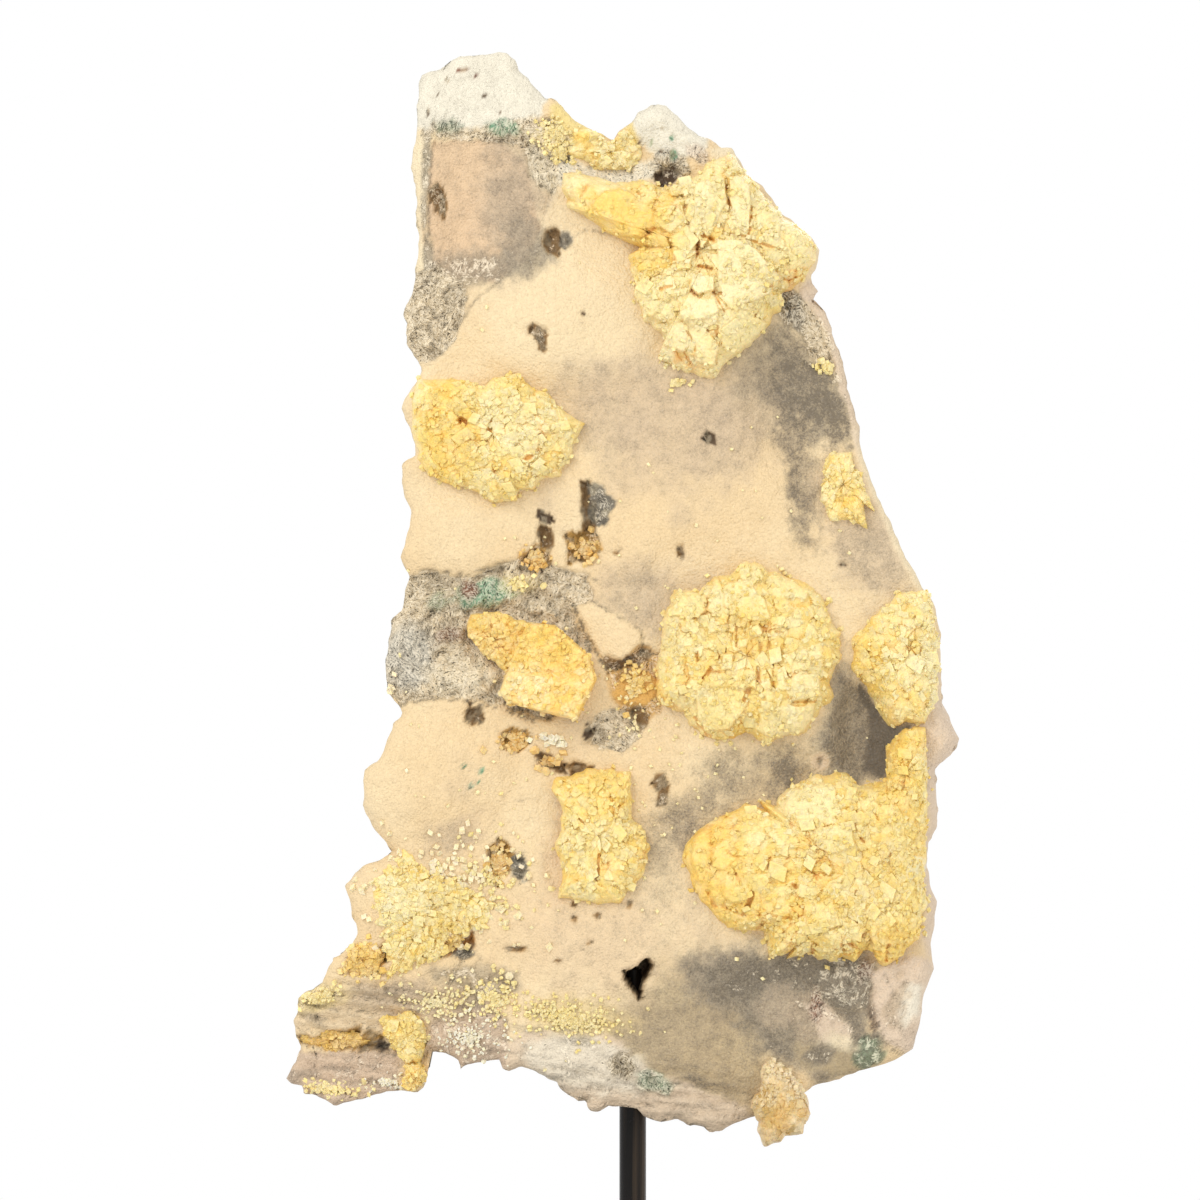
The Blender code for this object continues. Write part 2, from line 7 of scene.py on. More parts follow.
import itertools
import logging
import math
from collections.abc import Sequence
from dataclasses import dataclass, field
from enum import Enum, IntEnum

import bpy
import numpy as np
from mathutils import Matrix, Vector


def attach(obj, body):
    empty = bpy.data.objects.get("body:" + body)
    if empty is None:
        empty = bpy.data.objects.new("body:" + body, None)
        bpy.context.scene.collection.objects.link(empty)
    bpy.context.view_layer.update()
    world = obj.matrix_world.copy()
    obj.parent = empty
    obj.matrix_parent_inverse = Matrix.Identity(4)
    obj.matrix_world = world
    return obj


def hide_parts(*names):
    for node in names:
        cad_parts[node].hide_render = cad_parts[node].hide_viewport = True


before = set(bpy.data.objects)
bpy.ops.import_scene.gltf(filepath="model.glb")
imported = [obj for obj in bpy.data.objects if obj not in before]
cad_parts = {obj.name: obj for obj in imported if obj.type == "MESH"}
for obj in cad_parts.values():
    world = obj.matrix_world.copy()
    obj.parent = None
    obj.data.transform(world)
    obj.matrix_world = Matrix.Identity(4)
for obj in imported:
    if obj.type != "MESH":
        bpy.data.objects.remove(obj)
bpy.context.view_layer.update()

LOG = logging.getLogger("specimen")
Array = np.ndarray
Pair = tuple[float, float]
# Noises that are summed, each given as its size, its pitch and its seed
Waves = tuple[tuple[float, float, int], ...]
MM = 0.001
NOISE_SIDE = 64
GOLDEN_ANGLE = math.pi * (3 - math.sqrt(5))
# A pit no deeper than SMALL_PIT has the neat edge, and one of at least WINDOW_PIT is the window at the rod
SMALL_PIT = 4
WINDOW_PIT = 20
RAGGED_PIT = 2.2
NEAT_PIT = 0.8
# A calcite cleavage rhomb is a cube pressed along its diagonal to this share
RHOMB_PRESS = 0.7
# The lamps add light to a white surround, so the surfaces are that much darker than they look
ALBEDO_SHARE = 0.76


class Seed(IntEnum):
    """Which set of random values each noise takes. Noises that never meet may share one."""

    FACE_BROAD = 1
    FACE_FINE = 2
    BACK_BROAD = 4
    BACK_FINE = 5
    CRACK_FINE = 5
    WALL_HOLLOWS = 6
    CRACK_BROAD = 6
    CLOUDS = 11
    DUST = 17
    BLOTCHES = 19
    CRUST_WAVES = 31
    CRUST_RIPPLES = 37
    LARGE_FACETS = 41
    SMALL_FACETS = 43
    RIDGES = 47
    SUGAR = 51
    LEDGES = 61
    PIT_CRYSTALS = 67
    WALL_CHIPS = 73
    REAR_LARGE_FACETS = 77
    REAR_SMALL_FACETS = 78
    REAR_WAVES = 79
    RIM_WAVES = 80
    RIM_RIPPLES = 81
    WALL_BANDS = 83
    WALL_GREY = 87
    REAR_BROWN = 91
    REAR_SLATE = 95
    REAR_PINK = 99
    REAR_ROUGH = 101
    WALL_ROUGH = 103
    STREAKS = 107
    REAR_GRIME = 109
    FRAY_WAVES = 200
    LOOSE_CRYSTALS = 211
    FRAY_CHIPS = 300


class Draw(IntEnum):
    """What a cluster adds to its own seed for each of its noises and spreads."""

    SPREAD = 0
    RHOMBS = 1
    RIM_RIPPLES = 0
    RIM_WAVES = 1
    SPIN = 2
    DOME = 3
    BLADES = 3
    BLOCKS = 4
    GRAINS = 5
    PLATE_RIPPLES = 6
    WARMTH = 7
    SEAMS = 8
    PLATE_WAVES = 9


class Tone(Enum):
    """The colours of the specimen, as sRGB values from 0 to 255."""

    CRUST = (247, 217, 168)
    PALE_CRUST = (252, 227, 182)
    LILAC = (226, 200, 166)
    GREY = (196, 182, 156)
    DARK = (108, 94, 76)
    SLATE = (166, 156, 136)
    OLIVE = (190, 166, 122)
    WHITE = (252, 243, 220)
    PINK = (236, 212, 184)
    CREAM = (254, 235, 196)
    PEACH = (252, 224, 176)
    PANEL = (240, 205, 164)
    ROUGH = (248, 224, 182)
    GREEN = (126, 178, 140)
    BLUE_GREY = (206, 202, 188)
    BROWN_GREY = (242, 216, 176)
    PURPLE = (226, 198, 170)
    RED_BROWN = (140, 76, 48)
    CAVE = (196, 154, 98)
    CAVE_GOLD = (240, 184, 92)
    SHADOW = (120, 94, 66)
    YELLOW = (254, 228, 149)
    GOLD = (253, 212, 108)
    PALE_YELLOW = (255, 236, 178)
    ORANGE = (232, 168, 76)
    RUST = (150, 90, 34)
    SAND = (236, 208, 158)
    DULL_GOLD = (226, 184, 108)
    HONEY = (252, 208, 112)
    DEEP_HONEY = (214, 146, 62)

    def linear(self) -> Array:
        """The colour as linear red, green and blue, darkened by the share of light that the lamps add."""
        share = np.array(self.value, float) / 255
        return ALBEDO_SHARE * np.where(share <= 0.04045, share / 12.92, ((share + 0.055) / 1.055) ** 2.4)


def smoothstep(low: float, high: float, value: Array) -> Array:
    """A smooth rise from 0 at low to 1 at high, or a fall where low is above high."""
    share = np.clip((value - low) / (high - low), 0, 1)
    return share * share * (3 - 2 * share)


def lattice_noise(x: Array, z: Array, pitch: float, seed: int) -> Array:
    """Smooth noise from -1 to 1: random values on a square grid of that pitch, blended by a smoothstep.

    Args:
        x: Places across.
        z: Places up.
        pitch: The grid's spacing.
        seed: Which set of random values.

    Returns:
        The noise at each place.
    """
    values = np.random.default_rng(seed).uniform(-1, 1, (NOISE_SIDE, NOISE_SIDE))
    column, row = np.floor(x / pitch), np.floor(z / pitch)
    across = smoothstep(0, 1, x / pitch - column)
    up = smoothstep(0, 1, z / pitch - row)
    total = np.zeros_like(across)
    for right, above in itertools.product((0, 1), repeat=2):
        picked = values[(column.astype(int) + right) % NOISE_SIDE, (row.astype(int) + above) % NOISE_SIDE]
        total += picked * (across if right else 1 - across) * (up if above else 1 - up)
    return total


def octaves(x: Array, z: Array, pitch: float, seed: int, count: int = 4, gain: float = 0.5) -> Array:
    """Noise summed over several grids, each half the pitch of the last and weaker by the gain.

    Args:
        x: Places across.
        z: Places up.
        pitch: The coarsest grid's spacing.
        seed: Which random values.
        count: How many grids.
        gain: Each grid's share of the one before.

    Returns:
        The sum, from about -1 to 1.
    """
    total = np.zeros_like(np.asarray(x, float))
    for step in range(count):
        x, z = 0.8 * x - 0.6 * z, 0.6 * x + 0.8 * z
        total += gain**step * lattice_noise(x, z, pitch / 2**step, seed + step)
    return total * (1 - gain) / (1 - gain**count)


def waves(x: Array, z: Array, table: Waves) -> Array:
    """The sum of several noises."""
    return sum(size * lattice_noise(x, z, pitch, seed) for size, pitch, seed in table)


def unit(ways: Array) -> Array:
    """Each way at a length of 1."""
    return ways / np.linalg.norm(ways, axis=1, keepdims=True)


@dataclass(frozen=True)
class Cells:
    """Where places lie among scattered points: each place's nearest point, and how far it is.

    The points are the corners of a square grid, each moved at random within its own square.
    """

    near: Array
    border: Array
    step_x: Array
    step_z: Array
    lot: Array

    @classmethod
    def around(cls, x: Array, z: Array, pitch: float, seed: int) -> "Cells":
        """The cells of that pitch around each place.

        Args:
            x: Places across.
            z: Places up.
            pitch: The usual distance between points.
            seed: Which random points.

        Returns:
            Distances as shares of the pitch, steps to the nearest point, and that point's random numbers.
        """
        rng = np.random.default_rng(seed)
        moved = rng.uniform(0, 1, (NOISE_SIDE, NOISE_SIDE, 2))
        lots = rng.uniform(-1, 1, (NOISE_SIDE, NOISE_SIDE, 3))
        column, row = np.floor(x / pitch).astype(int), np.floor(z / pitch).astype(int)
        near = np.full(x.shape, np.inf)
        second = np.full(x.shape, np.inf)
        step_x, step_z = np.zeros(x.shape), np.zeros(x.shape)
        lot = np.zeros((*x.shape, 3))
        for right, above in itertools.product((-1, 0, 1), repeat=2):
            corner = ((column + right) % NOISE_SIDE, (row + above) % NOISE_SIDE)
            to_x = (column + right + moved[corner][..., 0]) * pitch - x
            to_z = (row + above + moved[corner][..., 1]) * pitch - z
            off = np.hypot(to_x, to_z) / pitch
            closer = off < near
            second = np.where(closer, near, np.minimum(second, off))
            near = np.where(closer, off, near)
            step_x, step_z = np.where(closer, to_x, step_x), np.where(closer, to_z, step_z)
            lot = np.where(closer[..., None], lots[corner], lot)
        return cls(near, second - near, step_x, step_z, lot)

    def facets(self, tilt: float, lift: float) -> Array:
        """A height made of flat facets: each cell is a plane with its own tilt and its own lift."""
        slope = self.step_x * self.lot[..., 0] + self.step_z * self.lot[..., 1]
        return tilt * slope + lift * self.lot[..., 2]


class Mark(IntEnum):
    """What the three channels of a mesh's marks say, each from 0 to 1."""

    # How much painted shade a place takes for lying in a pit, seam or crevice; on calcite it also lays on the
    # orange of the crevices
    DEPTH_SHADE = 0
    ROUGH = 1
    # Dust and grime, and painted shade in the crevices along the crust's edges
    GRIME_AND_SHADE = 2


@dataclass
class Shell:
    """Points in millimetres with faces, a colour at each point, and the point's marks."""

    points: Array
    faces: list[Array]
    colour: Array
    marks: Array
    smooth: bool = True


def marks_of(
    size: int, depth_shade: Array | float = 0.0, rough: Array | float = 0.0, grime: Array | float = 0.0
) -> Array:
    """Marks for that many points, each given as an array or as one number for all."""
    return np.stack([np.broadcast_to(np.ravel(mark), size) for mark in (depth_shade, rough, grime)], axis=1)


def joined(name: str, shells: list[Shell], finish: bpy.types.Material) -> bpy.types.Object:
    """Makes one object of several shells, with its place in its mesh.

    Args:
        name: The piece's name.
        shells: What it is made of.
        finish: Its material.

    Returns:
        The object, in the scene, with the colour attributes tint and marks.
    """
    blocks, smooth, start = [], [], 0
    for shell in shells:
        for block in shell.faces:
            blocks.append(block + start)
            smooth.append(np.full(len(block), shell.smooth))
        start += len(shell.points)
    sides = np.concatenate([np.full(len(block), block.shape[1]) for block in blocks])
    mesh = bpy.data.meshes.new(name)
    mesh.vertices.add(start)
    points = np.concatenate([shell.points for shell in shells]) * MM
    mesh.vertices.foreach_set("co", points.astype(np.float32).ravel())
    mesh.loops.add(int(sides.sum()))
    mesh.loops.foreach_set("vertex_index", np.concatenate([b.ravel() for b in blocks]).astype(np.int32))
    mesh.polygons.add(len(sides))
    mesh.polygons.foreach_set("loop_start", (np.cumsum(sides) - sides).astype(np.int32))
    mesh.polygons.foreach_set("use_smooth", np.concatenate(smooth))
    for attribute, rows in (("tint", [s.colour for s in shells]), ("marks", [s.marks for s in shells])):
        values = np.ones((start, 4), np.float32)
        values[:, :3] = np.concatenate(rows)
        mesh.attributes.new(attribute, "FLOAT_COLOR", "POINT").data.foreach_set("color", values.ravel())
    mesh.update(calc_edges=True)
    mesh.validate()
    mesh.materials.append(finish)
    made = bpy.data.objects.new(name, mesh)
    bpy.context.scene.collection.objects.link(made)
    return made


def painted(tone: Tone, shape: tuple[int, ...]) -> Array:
    """The same colour at every place of an array of that shape."""
    return np.broadcast_to(tone.linear(), (*shape, 3))


def mixed(base: Array, tone: Tone | Array, weight: Array) -> Array:
    """Each colour of base moved towards the tone by its weight."""
    other = tone.linear() if isinstance(tone, Tone) else tone
    share = np.clip(weight, 0, 1)[..., None]
    return base * (1 - share) + other * share


def grid_quads(rows: int, columns: int) -> Array:
    """The quads of a grid of points kept row after row, each wound from its first row to its second."""
    corner = np.arange((rows - 1) * columns).reshape(rows - 1, columns)[:, :-1].ravel()
    return np.stack([corner, corner + 1, corner + columns + 1, corner + columns], axis=1)


def border(grid: Array) -> Array:
    """The values round the edge of a grid, from its first one along its first row."""
    return np.concatenate([grid[0, :-1], grid[:-1, -1], grid[-1, :0:-1], grid[:0:-1, 0]])


def to_line(x: Array, z: Array, start: Pair, end: Pair) -> tuple[Array, Array]:
    """The steps in x and in z from each place to the nearest point of the line from start to end."""
    first, run = np.array(start, float), np.array(end, float) - np.array(start, float)
    along = np.clip(((x - first[0]) * run[0] + (z - first[1]) * run[1]) / (run @ run), 0, 1)
    return first[0] + along * run[0] - x, first[1] + along * run[1] - z


def sides_of(ring: Sequence[Pair]) -> zip:
    """The sides of a closed ring of points, each as its two ends."""
    return zip(ring, (*ring[1:], ring[0]))


def ring_distance(x: Array, z: Array, ring: Sequence[Pair]) -> Array:
    """How far each place lies from a closed ring of points, whichever side it is on."""
    nearest = np.full(np.shape(x), np.inf)
    for start, end in sides_of(ring):
        nearest = np.minimum(nearest, np.hypot(*to_line(x, z, start, end)))
    return nearest


def ring_holds(x: Array, z: Array, ring: Sequence[Pair]) -> Array:
    """Whether a line from each place to the right crosses the ring an odd number of times."""
    within = np.zeros(np.shape(x), bool)
    for (x0, z0), (x1, z1) in sides_of(ring):
        if z0 != z1:
            within ^= ((z0 > z) != (z1 > z)) & (x < x0 + (z - z0) * (x1 - x0) / (z1 - z0))
    return within


@dataclass(frozen=True)
class Swell:
    """A broad rise, or a hollow if its height is negative, of the slab's face."""

    x: float
    z: float
    across: float
    up: float
    height: float

    def at(self, x: Array, z: Array) -> Array:
        """How much it adds at each place."""
        off = ((x - self.x) / self.across) ** 2 + ((z - self.z) / self.up) ** 2
        return self.height * np.exp(-off * off)


@dataclass(frozen=True)
class Spot:
    """An oval place on the face, turned by spin degrees clockwise."""

    x: float
    z: float
    across: float
    up: float
    spin: float = 0.0

    def inward(self, x: Array, z: Array) -> Array:
        """Roughly how many millimetres each place lies inside the oval's edge."""
        turn = math.radians(self.spin)
        side = (x - self.x) * math.cos(turn) - (z - self.z) * math.sin(turn)
        rise = (x - self.x) * math.sin(turn) + (z - self.z) * math.cos(turn)
        return (1 - np.hypot(side / self.across, rise / self.up)) * min(self.across, self.up)


@dataclass(frozen=True)
class Plot:
    """A place on the face inside a ring of points."""

    ring: tuple[Pair, ...]

    def inward(self, x: Array, z: Array) -> Array:
        """How many millimetres each place lies inside the ring, negative outside."""
        return ring_distance(x, z, self.ring) * np.where(ring_holds(x, z, self.ring), 1, -1)


class Fray:
    """Noise that makes the edges of places ragged: waves of a few millimetres and angular chips."""

    kinds = 5
    wave_pitch = 9.0
    chip_pitch = 3.4
    wave_share = 1.2
    chip_share = 0.35

    def __init__(self, x: Array, z: Array) -> None:
        """Works out a few kinds of raggedness at each place, which the patches share."""
        self.waves, self.chips = [], []
        for kind in range(self.kinds):
            self.waves.append(octaves(x, z, self.wave_pitch, Seed.FRAY_WAVES + 10 * kind, 3, 0.6))
            self.chips.append(Cells.around(x, z, self.chip_pitch, Seed.FRAY_CHIPS + kind).lot[..., 2])

    def at(self, place: Spot | Plot, x: Array, z: Array, amount: float) -> Array:
        """How far inside the place each point lies, moved by up to the amount."""
        ring = getattr(place, "ring", None)
        kind = int(abs(ring[0][0] if ring else place.x)) % self.kinds
        moved = self.wave_share * self.waves[kind] + self.chip_share * self.chips[kind]
        return place.inward(x, z) + amount * moved


@dataclass(frozen=True)
class Patch:
    """A stretch of the face with its own tone: how strong, how rough, how grimy, and how soft its edge is.

    Lengths are millimetres. A sunk patch lies that much lower than the crust round it. A patch with a rim
    stays within that distance of the outline.
    """

    place: Spot | Plot
    tone: Tone | None
    strength: float = 0.0
    rough: float = 0.0
    grime: float = 0.0
    soft: float = 1.5
    ragged: float = 2.0
    sunk: float = 0.0
    rim: float = 0.0

    def weight(self, x: Array, z: Array, distance: Array, fray: Fray) -> Array:
        """How much of the patch there is at each place, given its distance from the outline."""
        inward = fray.at(self.place, x, z, self.ragged)
        weight = smoothstep(-self.soft, self.soft, inward)
        if self.rim:
            weight = weight * smoothstep(self.rim + 1.5, self.rim - 1.5, distance + 2 * fray.waves[0])
        return weight


@dataclass(frozen=True)
class Pit:
    """A hollow in the face: its depth, the tone of its crystals, how rough it is inside, its wall's run.

    A small one has a neater edge. Only the window that is deep enough to show the rod is sunk by its whole
    depth, and the others by half.
    """

    place: Spot | Plot
    depth: float
    tone: Tone = Tone.CAVE
    rough: float = 0.6
    wall: float = 1.6

    def share(self, x: Array, z: Array, fray: Fray) -> Array:
        """How far each place lies inside, from 0 at the pit's edge to 1 on its floor."""
        ragged = RAGGED_PIT if self.depth > SMALL_PIT else NEAT_PIT
        return smoothstep(-0.2, self.wall, fray.at(self.place, x, z, ragged))

    def floor(self) -> float:
        """How far the floor is sunk."""
        return 0.5 * self.depth if self.depth < WINDOW_PIT else self.depth


@dataclass(frozen=True)
class Crack:
    """A narrow crevice in a mound along a line of points, with its half width and how much painted shade lies
    in it.
    """

    line: tuple[Pair, ...]
    half: float = 1.0
    crevice_shade: float = 0.9

    def notch(self, x: Array, z: Array) -> Array:
        """How far each place lies in the crevice, from 0 beside it to 1 along its middle."""
        ends = zip(self.line, self.line[1:])
        away = np.min([np.hypot(*to_line(x, z, start, end)) for start, end in ends], axis=0)
        ragged = waves(x, z, ((0.5, 1.8, Seed.CRACK_FINE), (0.4, 4.5, Seed.CRACK_BROAD)))
        return smoothstep(self.half, 0.2 * self.half, away + self.half * ragged)


# The outline of the slab seen from the front, clockwise from the left end of the top
SLAB_OUTLINE = (
    (-97, 560), (-96, 575), (-95.5, 586), (-94, 590.5), (-90, 592.5), (-84, 593.5), (-81, 597),
    (-77, 599.5), (-72, 599.5), (-66, 599.5), (-60, 601), (-56, 600.5), (-52, 597.5), (-51, 593),
    (-46, 589), (-42, 583), (-39, 579.5), (-34, 579), (-30, 574.5), (-25, 570), (-20, 567), (-15, 564.5),
    (-9, 562), (-6, 566), (-1, 569), (2, 573.5), (6, 575.5), (11, 577.5), (15, 577), (20, 571.5), (25, 567),
    (29, 563.5), (34, 562), (39, 558.5), (44, 558), (48, 552.5), (52, 545), (58, 541), (61, 537),
    (66, 529.5), (73, 524), (79, 518.5), (83, 512.5), (82.5, 507), (80, 500.5), (80.5, 498), (83, 494),
    (80, 489.5), (86, 484.5), (89, 477), (91.5, 468), (94, 460), (95.5, 451), (99, 441), (101, 434),
    (101, 428), (104, 416), (108, 406), (114, 393), (120, 379), (126, 368), (129, 362.5), (133, 358.5),
    (135.5, 350), (137, 341), (137.5, 325), (138, 311), (142, 303), (146, 294.5), (142, 288), (138.5, 284),
    (135, 281), (135.5, 270), (136, 262), (136, 255), (132, 248), (132, 238), (133, 230), (136, 222),
    (135, 212), (133, 203), (134.5, 192), (130, 181), (128, 168), (124.5, 157), (117, 152), (110, 149.5),
    (101, 147), (90, 143), (80, 140), (76, 137), (60, 128), (53, 126.5), (47, 125), (40, 121), (35, 119.8),
    (31, 122.5), (24, 123.5), (20, 126), (12, 125), (5, 126.5), (1.5, 130), (-6, 131), (-11, 131.5),
    (-15, 128.5), (-19.5, 129), (-21, 134), (-25, 133), (-27, 136), (-31, 137.5), (-33.5, 142), (-38, 144),
    (-43, 146.5), (-50, 149), (-55.5, 147), (-58.5, 148), (-59.5, 152), (-66, 151), (-74, 149.5),
    (-77, 147), (-78, 152), (-84, 154.5), (-91, 156), (-93, 154), (-94.5, 150.5), (-91.5, 145), (-93, 140),
    (-97, 137.5), (-107, 138), (-119, 134.5), (-128, 132.5), (-133, 131), (-137, 134), (-141, 136),
    (-147, 136.5), (-148, 140), (-152, 141), (-154.5, 143.5), (-151, 150), (-148, 157), (-150.5, 161),
    (-151, 166), (-152, 170), (-150, 174), (-150, 180), (-144, 183), (-138.5, 186), (-136.5, 191),
    (-134, 198), (-129, 200.5), (-126, 204), (-123, 208), (-123.5, 213), (-126, 222), (-128.5, 230),
    (-124, 235), (-118, 239.5), (-112, 241), (-106.5, 245), (-112, 251), (-117, 257), (-119.5, 263),
    (-120.5, 271), (-119, 281), (-114, 285), (-110, 293), (-107, 302), (-103, 306), (-105, 310),
    (-110, 315), (-110, 324), (-110.5, 330), (-108.5, 340), (-107, 348), (-103, 352), (-101.5, 361),
    (-100.5, 368), (-103.5, 376), (-100.5, 387), (-98.5, 396), (-102, 404), (-103.5, 411), (-103, 417),
    (-97.5, 421), (-97, 426), (-100, 434), (-103, 442), (-102, 446), (-98, 452), (-94.5, 459), (-97, 465),
    (-101, 471), (-101.5, 475), (-100, 480), (-102.5, 484), (-99, 492), (-97, 500), (-96, 512),
    (-95.5, 520), (-96.5, 532), (-97, 542), (-99, 549),
)

SWELLS = (
    Swell(-70, 530, 20, 28, -4.0),
    Swell(-30, 480, 45, 28, 4.0),
    Swell(-70, 588, 30, 14, -3.0),
    Swell(75, 445, 24, 34, -6.0),
    Swell(-75, 385, 34, 16, 3.0),
    Swell(-84, 342, 30, 20, -6.0),
    Swell(20, 400, 48, 32, 3.0),
    Swell(103, 300, 13, 22, -9.0),
    Swell(60, 281, 42, 10, -3.0),
    Swell(-90, 278, 30, 26, 5.0),
    Swell(-104, 228, 26, 18, 3.0),
    Swell(-124, 160, 42, 24, -8.0),
    Swell(0, 205, 38, 34, 3.0),
    Swell(70, 180, 34, 18, -6.0),
    Swell(118, 172, 14, 20, 2.0),
    Swell(-12, 552, 20, 12, -7.0),
)

# Small dark and green specks, each as its place across and up, its half widths and its tone
SPECKS = (
    (-91, 573, 1.0, 2.6, Tone.SHADOW), (-76, 592, 2.6, 1.0, Tone.RED_BROWN),
    (-70, 590, 1.2, 0.8, Tone.RED_BROWN), (-83, 588, 0.9, 0.9, Tone.SHADOW),
    (-66, 581, 1.0, 1.0, Tone.SHADOW), (-59, 574, 0.9, 1.2, Tone.SHADOW), (-72, 576, 0.9, 0.9, Tone.GREEN),
    (-87, 581, 0.8, 1.0, Tone.SHADOW), (-63, 567, 1.1, 0.9, Tone.GREEN), (-79, 568, 0.9, 0.9, Tone.SHADOW),
    (8, 560, 1.4, 1.8, Tone.GREEN), (12, 556, 1.0, 1.0, Tone.SHADOW), (17, 562, 1.0, 1.4, Tone.GREEN),
    (6, 568, 0.9, 0.9, Tone.SHADOW), (21, 556, 1.2, 0.9, Tone.GREEN), (13, 566, 0.9, 0.9, Tone.SHADOW),
    (3, 560, 0.9, 1.1, Tone.SHADOW), (-75, 283, 1.2, 1.2, Tone.GREEN), (-67, 281, 0.9, 1.1, Tone.GREEN),
    (-69, 276, 1.2, 1.4, Tone.GREEN), (-72, 274, 1.1, 0.9, Tone.GREEN),
)
SPECK_DEPTH = 2

